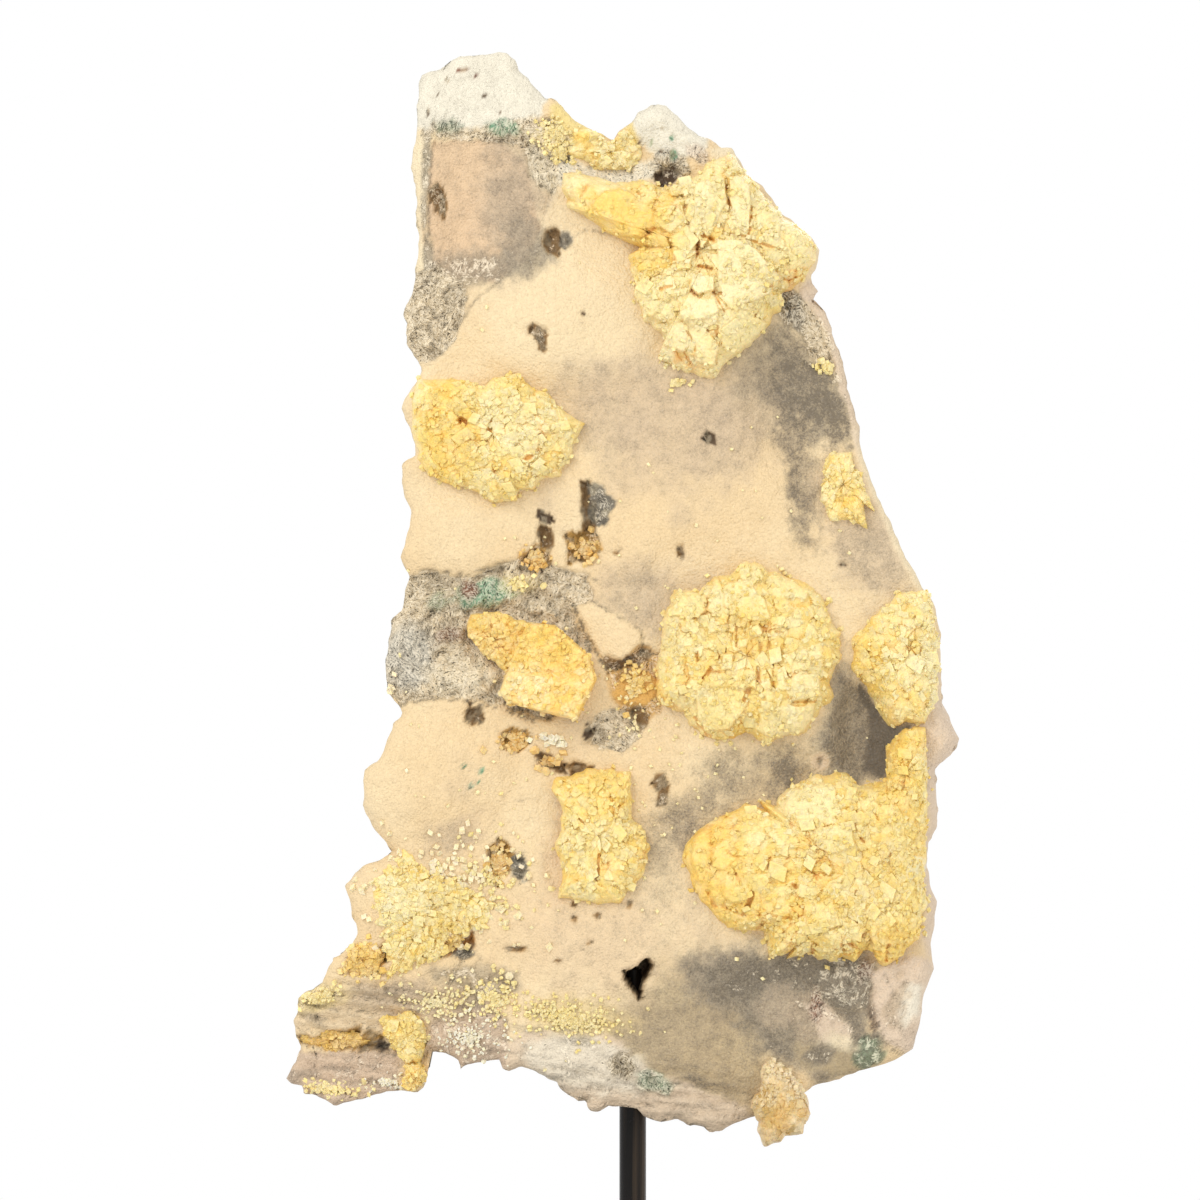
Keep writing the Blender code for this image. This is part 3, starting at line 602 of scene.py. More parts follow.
PITS = (
    Pit(Plot(((-25, 411), (-20, 410), (-18, 398), (-16, 388), (-18, 383), (-24, 384), (-23, 396))), 11),
    Pit(Plot(((-20, 408), (-14, 407), (-7, 400), (-10, 394), (-15, 388), (-18, 391))), 5, Tone.SLATE, 1.0),
    Pit(Plot(((-30, 386), (-24, 389), (-16, 386), (-14, 379), (-19, 373), (-29, 373))), 6, Tone.CAVE_GOLD,
        0.8),
    Pit(Plot(((-17, 378), (-11, 377), (-5, 380), (-6, 377), (-11, 374.5), (-17, 375))), 5, Tone.CAVE),
    Pit(Plot(((-42, 391), (-37, 389), (-35, 380), (-38, 377), (-43, 379))), 9, Tone.CAVE, 0.8),
    Pit(Plot(((-51, 376), (-43, 381), (-36, 379), (-34, 373), (-42, 370.5))), 5, Tone.CAVE_GOLD, 1.0),
    Pit(Plot(((-43.5, 396.5), (-41, 396.5), (-35, 391.5), (-39, 391.5))), 5, Tone.SHADOW, 0.3, 1.0),
    Pit(Plot(((-77, 309), (-72, 311), (-67, 309), (-66, 304), (-71, 301), (-76, 304))), 11, Tone.CAVE, 0.5),
    Pit(Plot(((-61, 298), (-54, 300), (-47, 298), (-44, 292), (-50, 288), (-58, 290))), 6, Tone.CAVE_GOLD,
        0.8),
    Pit(Plot(((-46, 290), (-40, 291), (-31, 284), (-30, 280), (-38, 279), (-44, 284))), 7, Tone.CAVE, 0.7),
    Pit(Plot(((-31, 284), (-24, 285), (-18, 283), (-19, 279.5), (-26, 279.5))), 7, Tone.CAVE, 0.4, 1.2),
    Pit(Plot(((-22, 303), (-18, 303), (-17, 296), (-20, 293), (-23, 296))), 7, Tone.SHADOW, 0.5),
    Pit(Plot(((9.5, 280), (14, 280), (15.5, 274), (15, 266), (12, 265.5), (11, 272), (8, 275))), 6,
        Tone.CAVE, 0.8),
    Pit(Plot(((-66, 246), (-61, 251), (-56, 250), (-53, 240), (-54, 231), (-60, 229), (-65, 235))), 6,
        Tone.CAVE_GOLD, 0.5),
    Pit(Plot(((-55, 243), (-50, 245), (-46.5, 240), (-46.5, 233), (-51, 230.5), (-55, 233))), 5, Tone.SLATE,
        1.0),
    Pit(Plot(((-91, 538), (-87, 542), (-83, 536), (-82, 527), (-86, 524), (-90, 529))), 6, Tone.CAVE, 1.0),
    Pit(Plot(((-40, 520), (-34, 522), (-31, 514), (-33, 509), (-38, 510), (-41, 515))), 10, Tone.CAVE, 0.6),
    Pit(Plot(((-33, 521), (-28, 521), (-26, 515), (-30, 511), (-33, 514))), 4, Tone.GREY, 0.9),
    Pit(Plot(((-50, 478), (-45, 480), (-37, 478), (-36, 473), (-40, 471), (-48, 474))), 6, Tone.CAVE, 0.9),
    Pit(Plot(((-45, 474), (-38, 475), (-37, 469), (-39, 465.5), (-43, 467))), 6, Tone.CAVE, 0.9),
    Pit(Plot(((31, 431), (34, 432.5), (36.5, 430), (36, 426.5), (33, 426), (31, 428))), 5, Tone.SHADOW, 0.6,
        1.2),
    Pit(Plot(((19, 381), (22, 381.5), (23.5, 376), (22, 374), (19, 376))), 4, Tone.CAVE, 0.8, 1.2),
    Pit(Spot(-51.5, 202, 5.6, 1.6, 4), 4, Tone.CAVE, 0.5, 1.0),
    Pit(Plot(((-89, 197), (-87, 203), (-80, 208), (-72, 209), (-70, 203), (-77, 198))), 6, Tone.DEEP_HONEY,
        0.4),
    Pit(Spot(-76, 201, 4.5, 3), 8, Tone.GREY, 1.0),
    Pit(Spot(-110, 200, 3.6, 6.0, 10), 11, Tone.RED_BROWN, 0.4),
    Pit(Spot(-119, 197, 9, 8, 14), 6, Tone.CAVE_GOLD, 0.3, 3.0),
    Pit(Spot(-133, 160.3, 20, 5.4, -3), 9, Tone.CAVE_GOLD, 0.2),
    Pit(Spot(-109, 158, 8, 1.8), 8, Tone.SHADOW, 0.5, 1.2),
    Pit(Plot(((9, 546), (14, 549), (21, 547), (19, 542), (12, 540))), 8, Tone.SHADOW, 0.8),
    Pit(Spot(18, 554, 2.4, 3.4), 3, Tone.GREEN, 1.0),
    Pit(Plot(((-17, 330), (-12, 333), (-5, 331), (4, 336), (9, 333), (3, 327), (-8, 326))), 5, Tone.CAVE,
        1.0),
    Pit(Plot(((-4, 308), (3, 309), (8, 304), (4, 300))), 5, Tone.CAVE, 0.7),
    Pit(Plot(((-3.5, 191), (3, 193), (4, 197.5), (8, 197.5), (6.5, 190), (5, 180), (2, 177.5), (-2, 183))),
        26, Tone.SHADOW, 0.2, 1.4),
    Pit(Spot(-26, 221.5, 1.6, 2.2, 8), 4, Tone.CAVE, 0.5, 1.0),
    Pit(Spot(-26, 215.5, 1.2, 2.4), 4, Tone.CAVE, 0.5, 1.0),
    Pit(Spot(-16, 216.5, 2.2, 2.4), 3, Tone.CAVE, 0.9, 1.0),
    Pit(Spot(-19, 205, 2.2, 1.4, -30), 3, Tone.CAVE, 0.9, 1.0),
    Pit(Spot(-1.5, 222, 1.6, 2.2), 3, Tone.CAVE, 0.6, 1.0),
    Pit(Spot(-33, 196.5, 1.6, 1.4), 3, Tone.CAVE, 0.5, 1.0),
    Pit(Spot(83, 285, 1.8, 3.0), 3, Tone.SHADOW, 0.2, 1.0),
    Pit(Spot(93, 372.5, 2.0, 1.0), 3, Tone.SHADOW, 0.2, 1.0),
    Pit(Spot(-22, 483.5, 1.2, 1.2), 2, Tone.SHADOW, 0.2, 1.0),
    *(Pit(Spot(x, z, across, up), SPECK_DEPTH, tone, 0.3, 1.0) for x, z, across, up, tone in SPECKS),
)

# Crevices along the edges of the crust, each with painted shade in it
CRUST_EDGES = (
    Crack(((-78, 478), (-70, 490), (-62, 496), (-55, 502), (-45, 508), (-35, 512), (-22, 521), (-10, 520)),
        1.0, 0.55),
    Crack(((-26, 354), (-18, 356), (-6, 349), (4, 343), (4, 335), (-4, 330), (-12, 326)), 1.0, 0.7),
    Crack(((-12, 326), (-16, 333), (-22, 343), (-26, 354)), 1.0, 0.85),
    Crack(((-21, 367), (-12, 363), (-4, 358), (3, 352)), 0.9, 0.5),
    Crack(((-102, 369), (-87, 370), (-74, 368), (-63, 372), (-52, 374)), 1.0, 0.6),
    Crack(((-104, 310), (-90, 313), (-76, 312), (-57, 308), (-44, 303)), 1.1, 0.75),
    Crack(((-47, 560), (-41, 548), (-37, 536), (-41, 522), (-47, 507)), 0.9, 0.5),
    Crack(((-88, 562), (-90, 545), (-91, 522), (-88, 503), (-75, 500)), 1.0, 0.6),
    Crack(((-40, 268), (-52, 268), (-60, 262), (-66, 252)), 0.8, 0.3),
    Crack(((107, 175), (112, 160), (122, 153)), 1.1, 0.7),
    Crack(((112, 190), (116, 180), (113, 172), (118, 166), (126, 164)), 0.8, 0.5),
    Crack(((118, 192), (122, 182), (119, 174), (124, 170)), 0.7, 0.35),
    Crack(((-60, 586), (-66, 580), (-62, 574), (-56, 570)), 0.6, 0.2),
    Crack(((130, 270), (133, 280), (131, 290), (136, 296)), 0.6, 0.3),
    Crack(((0, 135), (10, 131), (24, 128), (40, 125), (50, 129)), 0.9, 0.5),
    Crack(((-57, 158), (-57, 170), (-66, 177), (-80, 176), (-88, 168)), 0.9, 0.5),
    Crack(((-122, 156), (-112, 158), (-106, 157.5)), 1.6),
    Crack(((-150, 172), (-134, 170), (-120, 174), (-110, 170)), 0.9, 0.5),
    Crack(((-148, 148), (-132, 147), (-118, 150), (-106, 147)), 0.9, 0.45),
)

# Where the rock lies in thin layers: the wing and the lower rim
LAYERED = (
    (-158, 128), (-158, 184), (-136, 190), (-104, 186), (-60, 182), (-40, 172), (0, 160), (40, 146),
    (60, 122), (0, 112), (-60, 128),
)

PATCHES = (
    Patch(Spot(-24, 488, 48, 30, -8), Tone.PALE_CRUST, 0.9, soft=8, ragged=4),
    Patch(Spot(46, 440, 20, 22), Tone.LILAC, 0.5, grime=0.34, soft=13, ragged=7),
    Patch(Spot(72, 456, 32, 20, 24), Tone.GREY, 0.45, grime=0.55, soft=12, ragged=7),
    Patch(Spot(80, 452, 24, 18, 24), None, grime=1.0, soft=8, ragged=7),
    Patch(Spot(94, 440, 12, 16, 10), None, grime=0.9, soft=6, ragged=5),
    Patch(Spot(77, 408, 8, 22, -10), None, grime=0.95, soft=7, ragged=6),
    Patch(Spot(102, 384, 15, 36, -28), Tone.LILAC, 0.6, grime=0.4, soft=9, ragged=6),
    Patch(Spot(20, 436, 36, 26, 20), Tone.LILAC, 0.5, grime=0.32, soft=12, ragged=8),
    Patch(Spot(4, 358, 22, 16), Tone.LILAC, 0.5, grime=0.35, soft=8, ragged=5),
    Patch(Spot(-12, 440, 26, 18, 20), Tone.LILAC, 0.4, grime=0.3, soft=9, ragged=6),
    Patch(Spot(84, 474, 11, 19, -12), Tone.ROUGH, 0.8, 0.8, 0.3, soft=3, ragged=4, sunk=1.0),
    Patch(Spot(70, 487, 5, 12, -30), Tone.SLATE, 0.8, 0.8, 0.8, soft=2, ragged=2, sunk=1.0),
    Patch(Plot(((88, 330), (97, 325), (108, 309), (113, 302), (124, 301), (115, 292), (112, 276), (96, 272),
                (84, 280), (82, 292), (86, 305))), Tone.GREY, 0.6, grime=0.8, soft=5, ragged=3),
    Patch(Plot(((101, 318), (108, 309), (113, 302), (124, 301), (115, 292), (112, 278), (104, 282),
                (106, 296))),
          Tone.DARK, 0.8, 0.15, 1.0, soft=1.2, ragged=2),
    Patch(Spot(62, 281, 30, 13, -6), None, grime=0.75, soft=8, ragged=4),
    Patch(Spot(26, 258, 26, 13, -30), None, grime=0.6, soft=8, ragged=4),
    Patch(Spot(8, 232, 14, 22), None, grime=0.35, soft=8, ragged=4),
    Patch(Spot(28, 160, 38, 36, 10), Tone.OLIVE, 0.55, grime=0.5, soft=12, ragged=6),
    Patch(Plot(((20, 196), (45, 203), (67, 200), (98, 201), (109, 192), (106, 175), (111, 158), (103, 147),
                (84, 144), (66, 150), (54, 158), (46, 174), (24, 182))), Tone.GREY, 0.75, 0.15, 0.85,
                soft=6, ragged=5),
    Patch(Spot(93, 187, 14, 13), Tone.GREY, 0.8, 0.5, 0.78, soft=3, ragged=4, sunk=1.6),
    Patch(Spot(80, 172, 11, 10, 20), Tone.LILAC, 0.6, 0.3, 0.55, soft=3, ragged=4, sunk=0.6),
    Patch(Spot(62, 190, 16, 9, -10), Tone.GREY, 0.5, 0.3, 0.9, soft=4, ragged=4, sunk=0.6),
    Patch(Spot(64, 176, 10, 9), Tone.LILAC, 0.5, 0.2, 0.55, soft=3, ragged=3),
    Patch(Plot(((76, 178), (84, 178), (90, 172), (97, 168), (97, 160), (90, 155), (84, 158), (80, 166))),
          Tone.PINK, 0.8, 0.3, 0.1, soft=0.8, ragged=2, sunk=-0.8),
    Patch(Spot(89, 152, 17, 7, 12), Tone.OLIVE, 0.7, 0.1, 0.3, soft=2, ragged=2),
    Patch(Spot(81, 176, 2.4, 6), Tone.RED_BROWN, 0.7, 0.8, 0.4, soft=1, ragged=1.5),
    Patch(Spot(104, 192, 4, 5), Tone.RED_BROWN, 0.6, 0.8, 0.5, soft=1.5, ragged=2),
    Patch(Spot(107, 174, 3.0, 12), Tone.RED_BROWN, 0.5, 0.4, 0.9, soft=1.5, ragged=3, sunk=1.8),
    Patch(Spot(104, 156, 6, 6), Tone.GREEN, 0.6, 0.45, 0.8, soft=1.5, ragged=3, sunk=0.8),
    Patch(Spot(91, 160, 8, 4, 10), Tone.CREAM, 0.8, 0.2, 0.25, soft=1.5, ragged=3, sunk=-0.6),
    Patch(Spot(83, 155, 7, 5), Tone.GREY, 0.6, 0.3, 0.8, soft=2, ragged=3, sunk=0.6),
    Patch(Plot(((-90, 561), (-61, 562), (-47, 548), (-41, 522), (-47, 507), (-62, 498), (-88, 503),
                (-91, 522))),
          Tone.PANEL, 0.85, grime=0.22, soft=0.8, ragged=1.0, sunk=1.4),
    Patch(Spot(-53, 534, 13, 26, 6), Tone.LILAC, 0.8, grime=0.5, soft=10, ragged=6),
    Patch(Spot(-68, 505, 25, 8, -8), Tone.GREY, 0.5, 0.45, 0.6, soft=4, ragged=4, sunk=0.8),
    Patch(Spot(-48, 513, 11, 13), Tone.GREY, 0.4, 0.2, 0.6, soft=5, ragged=4),
    Patch(Plot(((-98, 566), (-91, 562), (-91, 545), (-94, 522), (-91, 500), (-99, 498), (-100, 545))),
          Tone.CREAM, 0.85, 0.1, 0.05, soft=1.0, ragged=1.0),
    Patch(Plot(((-93, 566), (-89, 565), (-91, 544), (-92, 522), (-88, 504), (-92, 504), (-94, 524))),
          Tone.GREY, 0.6, 0.5, 0.5, soft=0.8, ragged=1.5, sunk=1.2),
    Patch(Plot(((-104, 500), (-86, 506), (-73, 494), (-75, 482), (-79, 472), (-90, 462), (-97, 462),
                (-105, 478))),
          Tone.ROUGH, 0.9, 1.0, 0.45, soft=0.8, ragged=1.5, sunk=2.2),
    Patch(Plot(((-101, 564), (-90, 566), (-60, 566), (-42, 570), (-34, 584), (-60, 606), (-104, 602))),
          Tone.WHITE, 1.0, 0.17, 0.16, soft=1.2),
    Patch(Plot(((-90, 569), (-74, 566), (-60, 567), (-44, 572), (-36, 563), (-46, 557), (-60, 561),
                (-88, 561))),
          Tone.ROUGH, 0.7, 1.0, 0.5, soft=1.0, ragged=2.0, sunk=1.4),
    Patch(Spot(-57, 566, 6, 3), Tone.GREEN, 0.8, 0.8, 0.2, soft=1.2),
    Patch(Spot(-82, 567, 5, 2.6), Tone.GREEN, 0.5, 1.0, 0.6, soft=1.2),
    Patch(Plot(((-47, 566), (-36, 572), (-26, 560), (-28, 544), (-36, 536), (-43, 541), (-47, 552))),
          Tone.CREAM, 0.8, 0.9, 0.35, soft=1.2, ragged=2.5, sunk=1.0),
    Patch(Spot(-35, 562, 9, 7), Tone.YELLOW, 0.6, 0.5, 0.1, soft=2.5, ragged=3),
    Patch(Spot(-24, 569, 14, 7, 34), Tone.YELLOW, 0.9, 0.2, 0.0, soft=1.5, ragged=2),
    Patch(Spot(-1, 563, 4, 10, 10), Tone.YELLOW, 0.9, 0.2, 0.0, soft=1.5, ragged=2),
    Patch(Spot(42, 553, 8, 5, 30), Tone.CREAM, 0.9, 0.2, 0.1, soft=1.5, ragged=2),
    Patch(Plot(((1, 564), (8, 556), (18, 551), (32, 556), (34, 566), (14, 582), (-4, 578))),
          Tone.WHITE, 1.0, 0.17, 0.18, soft=1.2),
    Patch(Spot(16, 550, 9, 6, -10), Tone.GREY, 0.5, 1.0, 0.6, soft=1.2),
    Patch(Spot(28, 556, 6, 4, 20), Tone.PINK, 0.8, 0.8, 0.3, soft=1.5),
    Patch(Plot(((-34, 553), (-14, 549), (8, 552), (12, 545), (-8, 541), (-32, 541))),
          Tone.WHITE, 0.9, 0.6, 0.05, soft=1.2, ragged=1.5),
    Patch(Plot(((-106, 368), (-87, 369), (-74, 367), (-63, 371), (-52, 373), (-46, 377), (-36, 372),
                (-21, 367),
                (-18, 358), (-27, 354), (-25, 347), (-15, 338), (-20, 328), (-36, 302), (-57, 309),
                (-76, 313),
                (-90, 314), (-102, 311), (-114, 318), (-114, 340), (-112, 352))),
          Tone.ROUGH, 0.9, 1.0, 0.25, soft=0.8, ragged=1.6, sunk=2.6),
    Patch(Spot(-100, 332, 12, 15, 10), Tone.BLUE_GREY, 0.8, 0.9, 0.35, soft=4, ragged=3),
    Patch(Spot(-66, 359, 13, 6, -6), Tone.GREEN, 0.9, 0.8, 0.1, soft=1.5, ragged=2.5),
    Patch(Spot(-88, 356, 5, 3.5), Tone.GREEN, 0.5, 0.9, 0.2, soft=2),
    Patch(Spot(-72, 361, 3, 4.4), Tone.RED_BROWN, 0.9, 0.7, 0.2, soft=1),
    Patch(Spot(-82, 341, 6, 3.5), Tone.RED_BROWN, 0.7, 1.0, 0.3, soft=1.5),
    Patch(Spot(-50, 364, 8, 4), Tone.YELLOW, 0.6, 0.7, 0.0, soft=2),
    Patch(Spot(-78, 322, 14, 8), Tone.CREAM, 0.7, 0.9, 0.1, soft=3, ragged=3),
    Patch(Plot(((-27, 353.5), (-17, 355.5), (-6, 349), (4, 343), (4, 335), (-4, 330), (-12, 326), (-15, 332),
                (-21, 343))), Tone.PEACH, 0.9, 0.0, 0.0, soft=0.7, ragged=1.2, sunk=-1.4),
    Patch(Plot(((-13, 329), (-4, 330), (3, 337), (11, 333), (14, 318), (12, 306), (3, 302), (-6, 308),
                (-12, 318))),
          Tone.CAVE_GOLD, 0.8, 0.7, 0.2, soft=1.0, ragged=1.5, sunk=2.0),
    Patch(Spot(1, 317, 10, 7, -12), Tone.CAVE_GOLD, 0.7, 0.15, 0.0, soft=1.5, ragged=1.5),
    Patch(Spot(-30, 252, 7, 22, 6), Tone.PANEL, 0.7, grime=0.3, soft=6, ragged=4),
    Patch(Spot(-8, 299, 11, 10), Tone.ROUGH, 0.9, 1.0, 0.3, soft=1.0, ragged=2, sunk=1.5),
    Patch(Spot(-18, 318, 8, 12), Tone.PEACH, 0.6, 0.1, 0.0, soft=2, ragged=2),
    Patch(Plot(((-57, 160), (-40, 167), (-30, 165), (-23, 168), (-8, 162), (0, 154), (12, 147), (30, 139),
                (52, 131), (56, 122), (30, 112), (-24, 120), (-62, 142))),
          Tone.PINK, 0.75, 0.22, 0.08, soft=1.2, ragged=2),
    Patch(Spot(-20, 150, 26, 12, 10), Tone.WHITE, 0.6, 0.3, 0.1, soft=3, ragged=3),
    Patch(Spot(-4, 150, 5, 5), Tone.OLIVE, 0.8, 1.0, 0.5, soft=1.5),
    Patch(Spot(10, 142, 9, 4.5, 20), Tone.GREEN, 0.6, 1.0, 0.6, soft=1.5, ragged=2.5),
    Patch(Spot(-26, 171, 22, 9, 4), Tone.YELLOW, 0.4, 0.2, 0.3, soft=3, ragged=4),
    Patch(Plot(((106, 191), (114, 196), (128, 198), (137, 193), (133, 180), (130, 166), (124, 152),
                (112, 160),
                (107, 175))), Tone.PINK, 0.95, 0.16, 0.05, soft=0.9, ragged=1.8, sunk=-0.8),
    Patch(Spot(122, 178, 6, 9, 10), Tone.WHITE, 0.8, 0.16, 0.05, soft=1.5, ragged=3),
    Patch(Spot(117, 182, 4, 15, 10), Tone.LILAC, 0.8, 0.3, 0.35, soft=2, ragged=4, sunk=0.5),
    Patch(Spot(124, 163, 5, 6, 10), Tone.PINK, 0.8, 0.2, 0.3, soft=2, ragged=3),
    Patch(Spot(138, 256, 16, 66), Tone.PINK, 0.9, 0.2, 0.0, soft=2, rim=5.0),
    Patch(Spot(110, 396, 26, 44, -28), Tone.CREAM, 0.7, 0.1, 0.0, soft=3, rim=3.0),
    Patch(Spot(90, 462, 12, 40, -10), Tone.PINK, 0.8, 0.3, 0.1, soft=3, rim=3.5),
    Patch(Spot(138, 296, 12, 16), Tone.PINK, 0.9, 0.2, 0.0, soft=2),
    Patch(Plot(((-153, 164), (-153, 180), (-138, 182), (-120, 187), (-104, 186), (-86, 180), (-90, 170),
                (-112, 165))),
          Tone.BROWN_GREY, 0.8, 0.2, 0.12, soft=1.5, ragged=2),
    Patch(Plot(((-158, 143), (-152, 157), (-120, 156), (-105, 156), (-103, 148), (-104, 136), (-130, 126),
                (-150, 134))),
          Tone.PURPLE, 0.85, 0.26, 0.2, soft=1.5, ragged=2),
    Patch(Spot(-140, 180, 13, 6, -14), Tone.YELLOW, 0.6, 0.4, 0.1, soft=2),
    Patch(Plot(((-91, 156), (-90, 168), (-80, 176), (-66, 177), (-57, 170), (-56, 148), (-70, 146),
                (-88, 150))),
          Tone.PURPLE, 0.85, 0.4, 0.25, soft=1.5, ragged=2),
    Patch(Spot(-68, 187, 18, 9, 8), Tone.GREY, 0.5, 0.5, 0.4, soft=3, ragged=4, sunk=0.6),
    Patch(Spot(-96, 178, 26, 8, 8), Tone.LILAC, 0.6, 0.2, 0.35, soft=3, ragged=4),
    Patch(Spot(-82, 250, 14, 8, -20), Tone.LILAC, 0.5, grime=0.3, soft=4, ragged=4),
    Patch(Spot(79, 494, 4.5, 5), Tone.PINK, 0.9, 0.0, 0.0, soft=1.2),
    Patch(Spot(125, 240, 5, 8), Tone.WHITE, 0.9, 0.1, 0.0, soft=1.5),
    Patch(Spot(83, 285, 4.6, 4.6), Tone.LILAC, 0.9, 0.0, 0.0, soft=1.0, ragged=1),
    Patch(Spot(-16, 206, 36, 24, 6), Tone.PANEL, 0.4, grime=0.22, soft=14, ragged=7),
)


@dataclass(frozen=True)
class SlabShape:
    """The form of the rock slab, close to the frame's solid: its face, back and wall by x and z.

    The spine is the line towards which the wall is drawn in. It branches into the horns and the wing.
    """

    face_forward: float = 27.0
    back_behind: float = 24.0
    face_shoulder: Pair = (7.0, 6.0)
    back_shoulder: Pair = (18.0, 10.0)
    wall_hollow: float = 9.0
    wall_reach: float = 15.0
    wall_pitch: float = 24.0
    silhouette_share: float = 0.35
    spine: tuple[tuple[Pair, Pair], ...] = (
        ((4, 190), (-10, 470)), ((-10, 470), (-80, 562)), ((-10, 470), (14, 556)), ((4, 190), (-130, 162)),
    )
    face_waves: Waves = ((1.8, 34, Seed.FACE_BROAD), (0.9, 15, Seed.FACE_FINE))
    back_waves: Waves = ((3.5, 55, Seed.BACK_BROAD), (2.0, 22, Seed.BACK_FINE))
    steep_rim: Swell = Swell(138, 250, 26, 84, 12.0)

    def rim_distance(self, x: Array, z: Array) -> Array:
        """How far each place lies from the outline, whichever side it is on."""
        return ring_distance(x, z, SLAB_OUTLINE)

    def inside(self, x: Array, z: Array) -> Array:
        """Whether each place lies within the outline."""
        return ring_holds(x, z, SLAB_OUTLINE)

    @staticmethod
    def shoulder(distance: Array, width: float, drop: Array | float) -> Array:
        """How far the surface has fallen back at that distance from the rim: a quarter ellipse."""
        inward = np.clip(1 - distance / width, 0, 1)
        return drop * (1 - np.sqrt(1 - inward * inward))

    def face(self, x: Array, z: Array, distance: Array | None = None) -> Array:
        """The face's height: noise and swells, less the shoulder towards the rim.

        Args:
            x: Places across.
            z: Places up.
            distance: Their distances from the outline, if already worked out.

        Returns:
            How far the face stands in front of the rod's axis.
        """
        distance = self.rim_distance(x, z) if distance is None else distance
        height = self.face_forward + waves(x, z, self.face_waves)
        for swell in SWELLS:
            height = height + swell.at(x, z)
        width, drop = self.face_shoulder
        return height - self.shoulder(distance, width, drop + self.steep_rim.at(x, z))

    def back(self, x: Array, z: Array, distance: Array) -> Array:
        """How far the back stands behind the rod's axis."""
        height = self.back_behind + waves(x, z, self.back_waves)
        return height - self.shoulder(distance, *self.back_shoulder)

    def drawn_in(self, x: Array, z: Array, y: Array, share: Array) -> tuple[Array, Array]:
        """Moves places near the rim towards the slab's spine, by noise along the rim and through the slab.

        Args:
            x: Places across.
            z: Places up.
            y: Their depths.
            share: How far through the slab they are, 0 at the face and 1 at the back.

        Returns:
            The moved places, across and up.
        """
        near_rim = np.clip(1.2 - self.rim_distance(x, z) / self.wall_reach, 0, 1)
        inside = np.clip(1 - np.abs(share - self.silhouette_share) / (1 - self.silhouette_share), 0, 1)
        rough = np.clip(0.15 + lattice_noise(x + z, x - z + 4 * y, self.wall_pitch, Seed.WALL_HOLLOWS), 0, 1)
        behind = np.clip(share - self.silhouette_share - 0.1, 0, 1)
        hollow = self.wall_hollow * near_rim * (inside * rough * smoothstep(0, 0.3, share) + behind)
        return self.inwards(x, z, hollow)

    def inwards(self, x: Array, z: Array, amount: Array) -> tuple[Array, Array]:
        """Moves places towards the spine by the amount, but leaves those whose way leads out of the outline.

        The nearer a line of the spine is, the more it counts.
        """
        ways = [to_line(x, z, *line) for line in self.spine]
        weights = [1 / (np.hypot(*way) + 1) ** 4 for way in ways]
        step_x, step_z = (sum(w * way[axis] for w, way in zip(weights, ways)) for axis in (0, 1))
        length = np.hypot(step_x, step_z) + 1e-12
        amount = amount * self.inside(x + 2 * step_x / length, z + 2 * step_z / length)
        return x + amount * step_x / length, z + amount * step_z / length


def hollowed(x: Array, z: Array, fray: Fray) -> tuple[Array, list[Array]]:
    """How deep the pits are at each place, and how far each place is inside each pit."""
    shares = [pit.share(x, z, fray) for pit in PITS]
    fall = np.max([share * pit.floor() for share, pit in zip(shares, PITS)], axis=0)
    return fall, shares


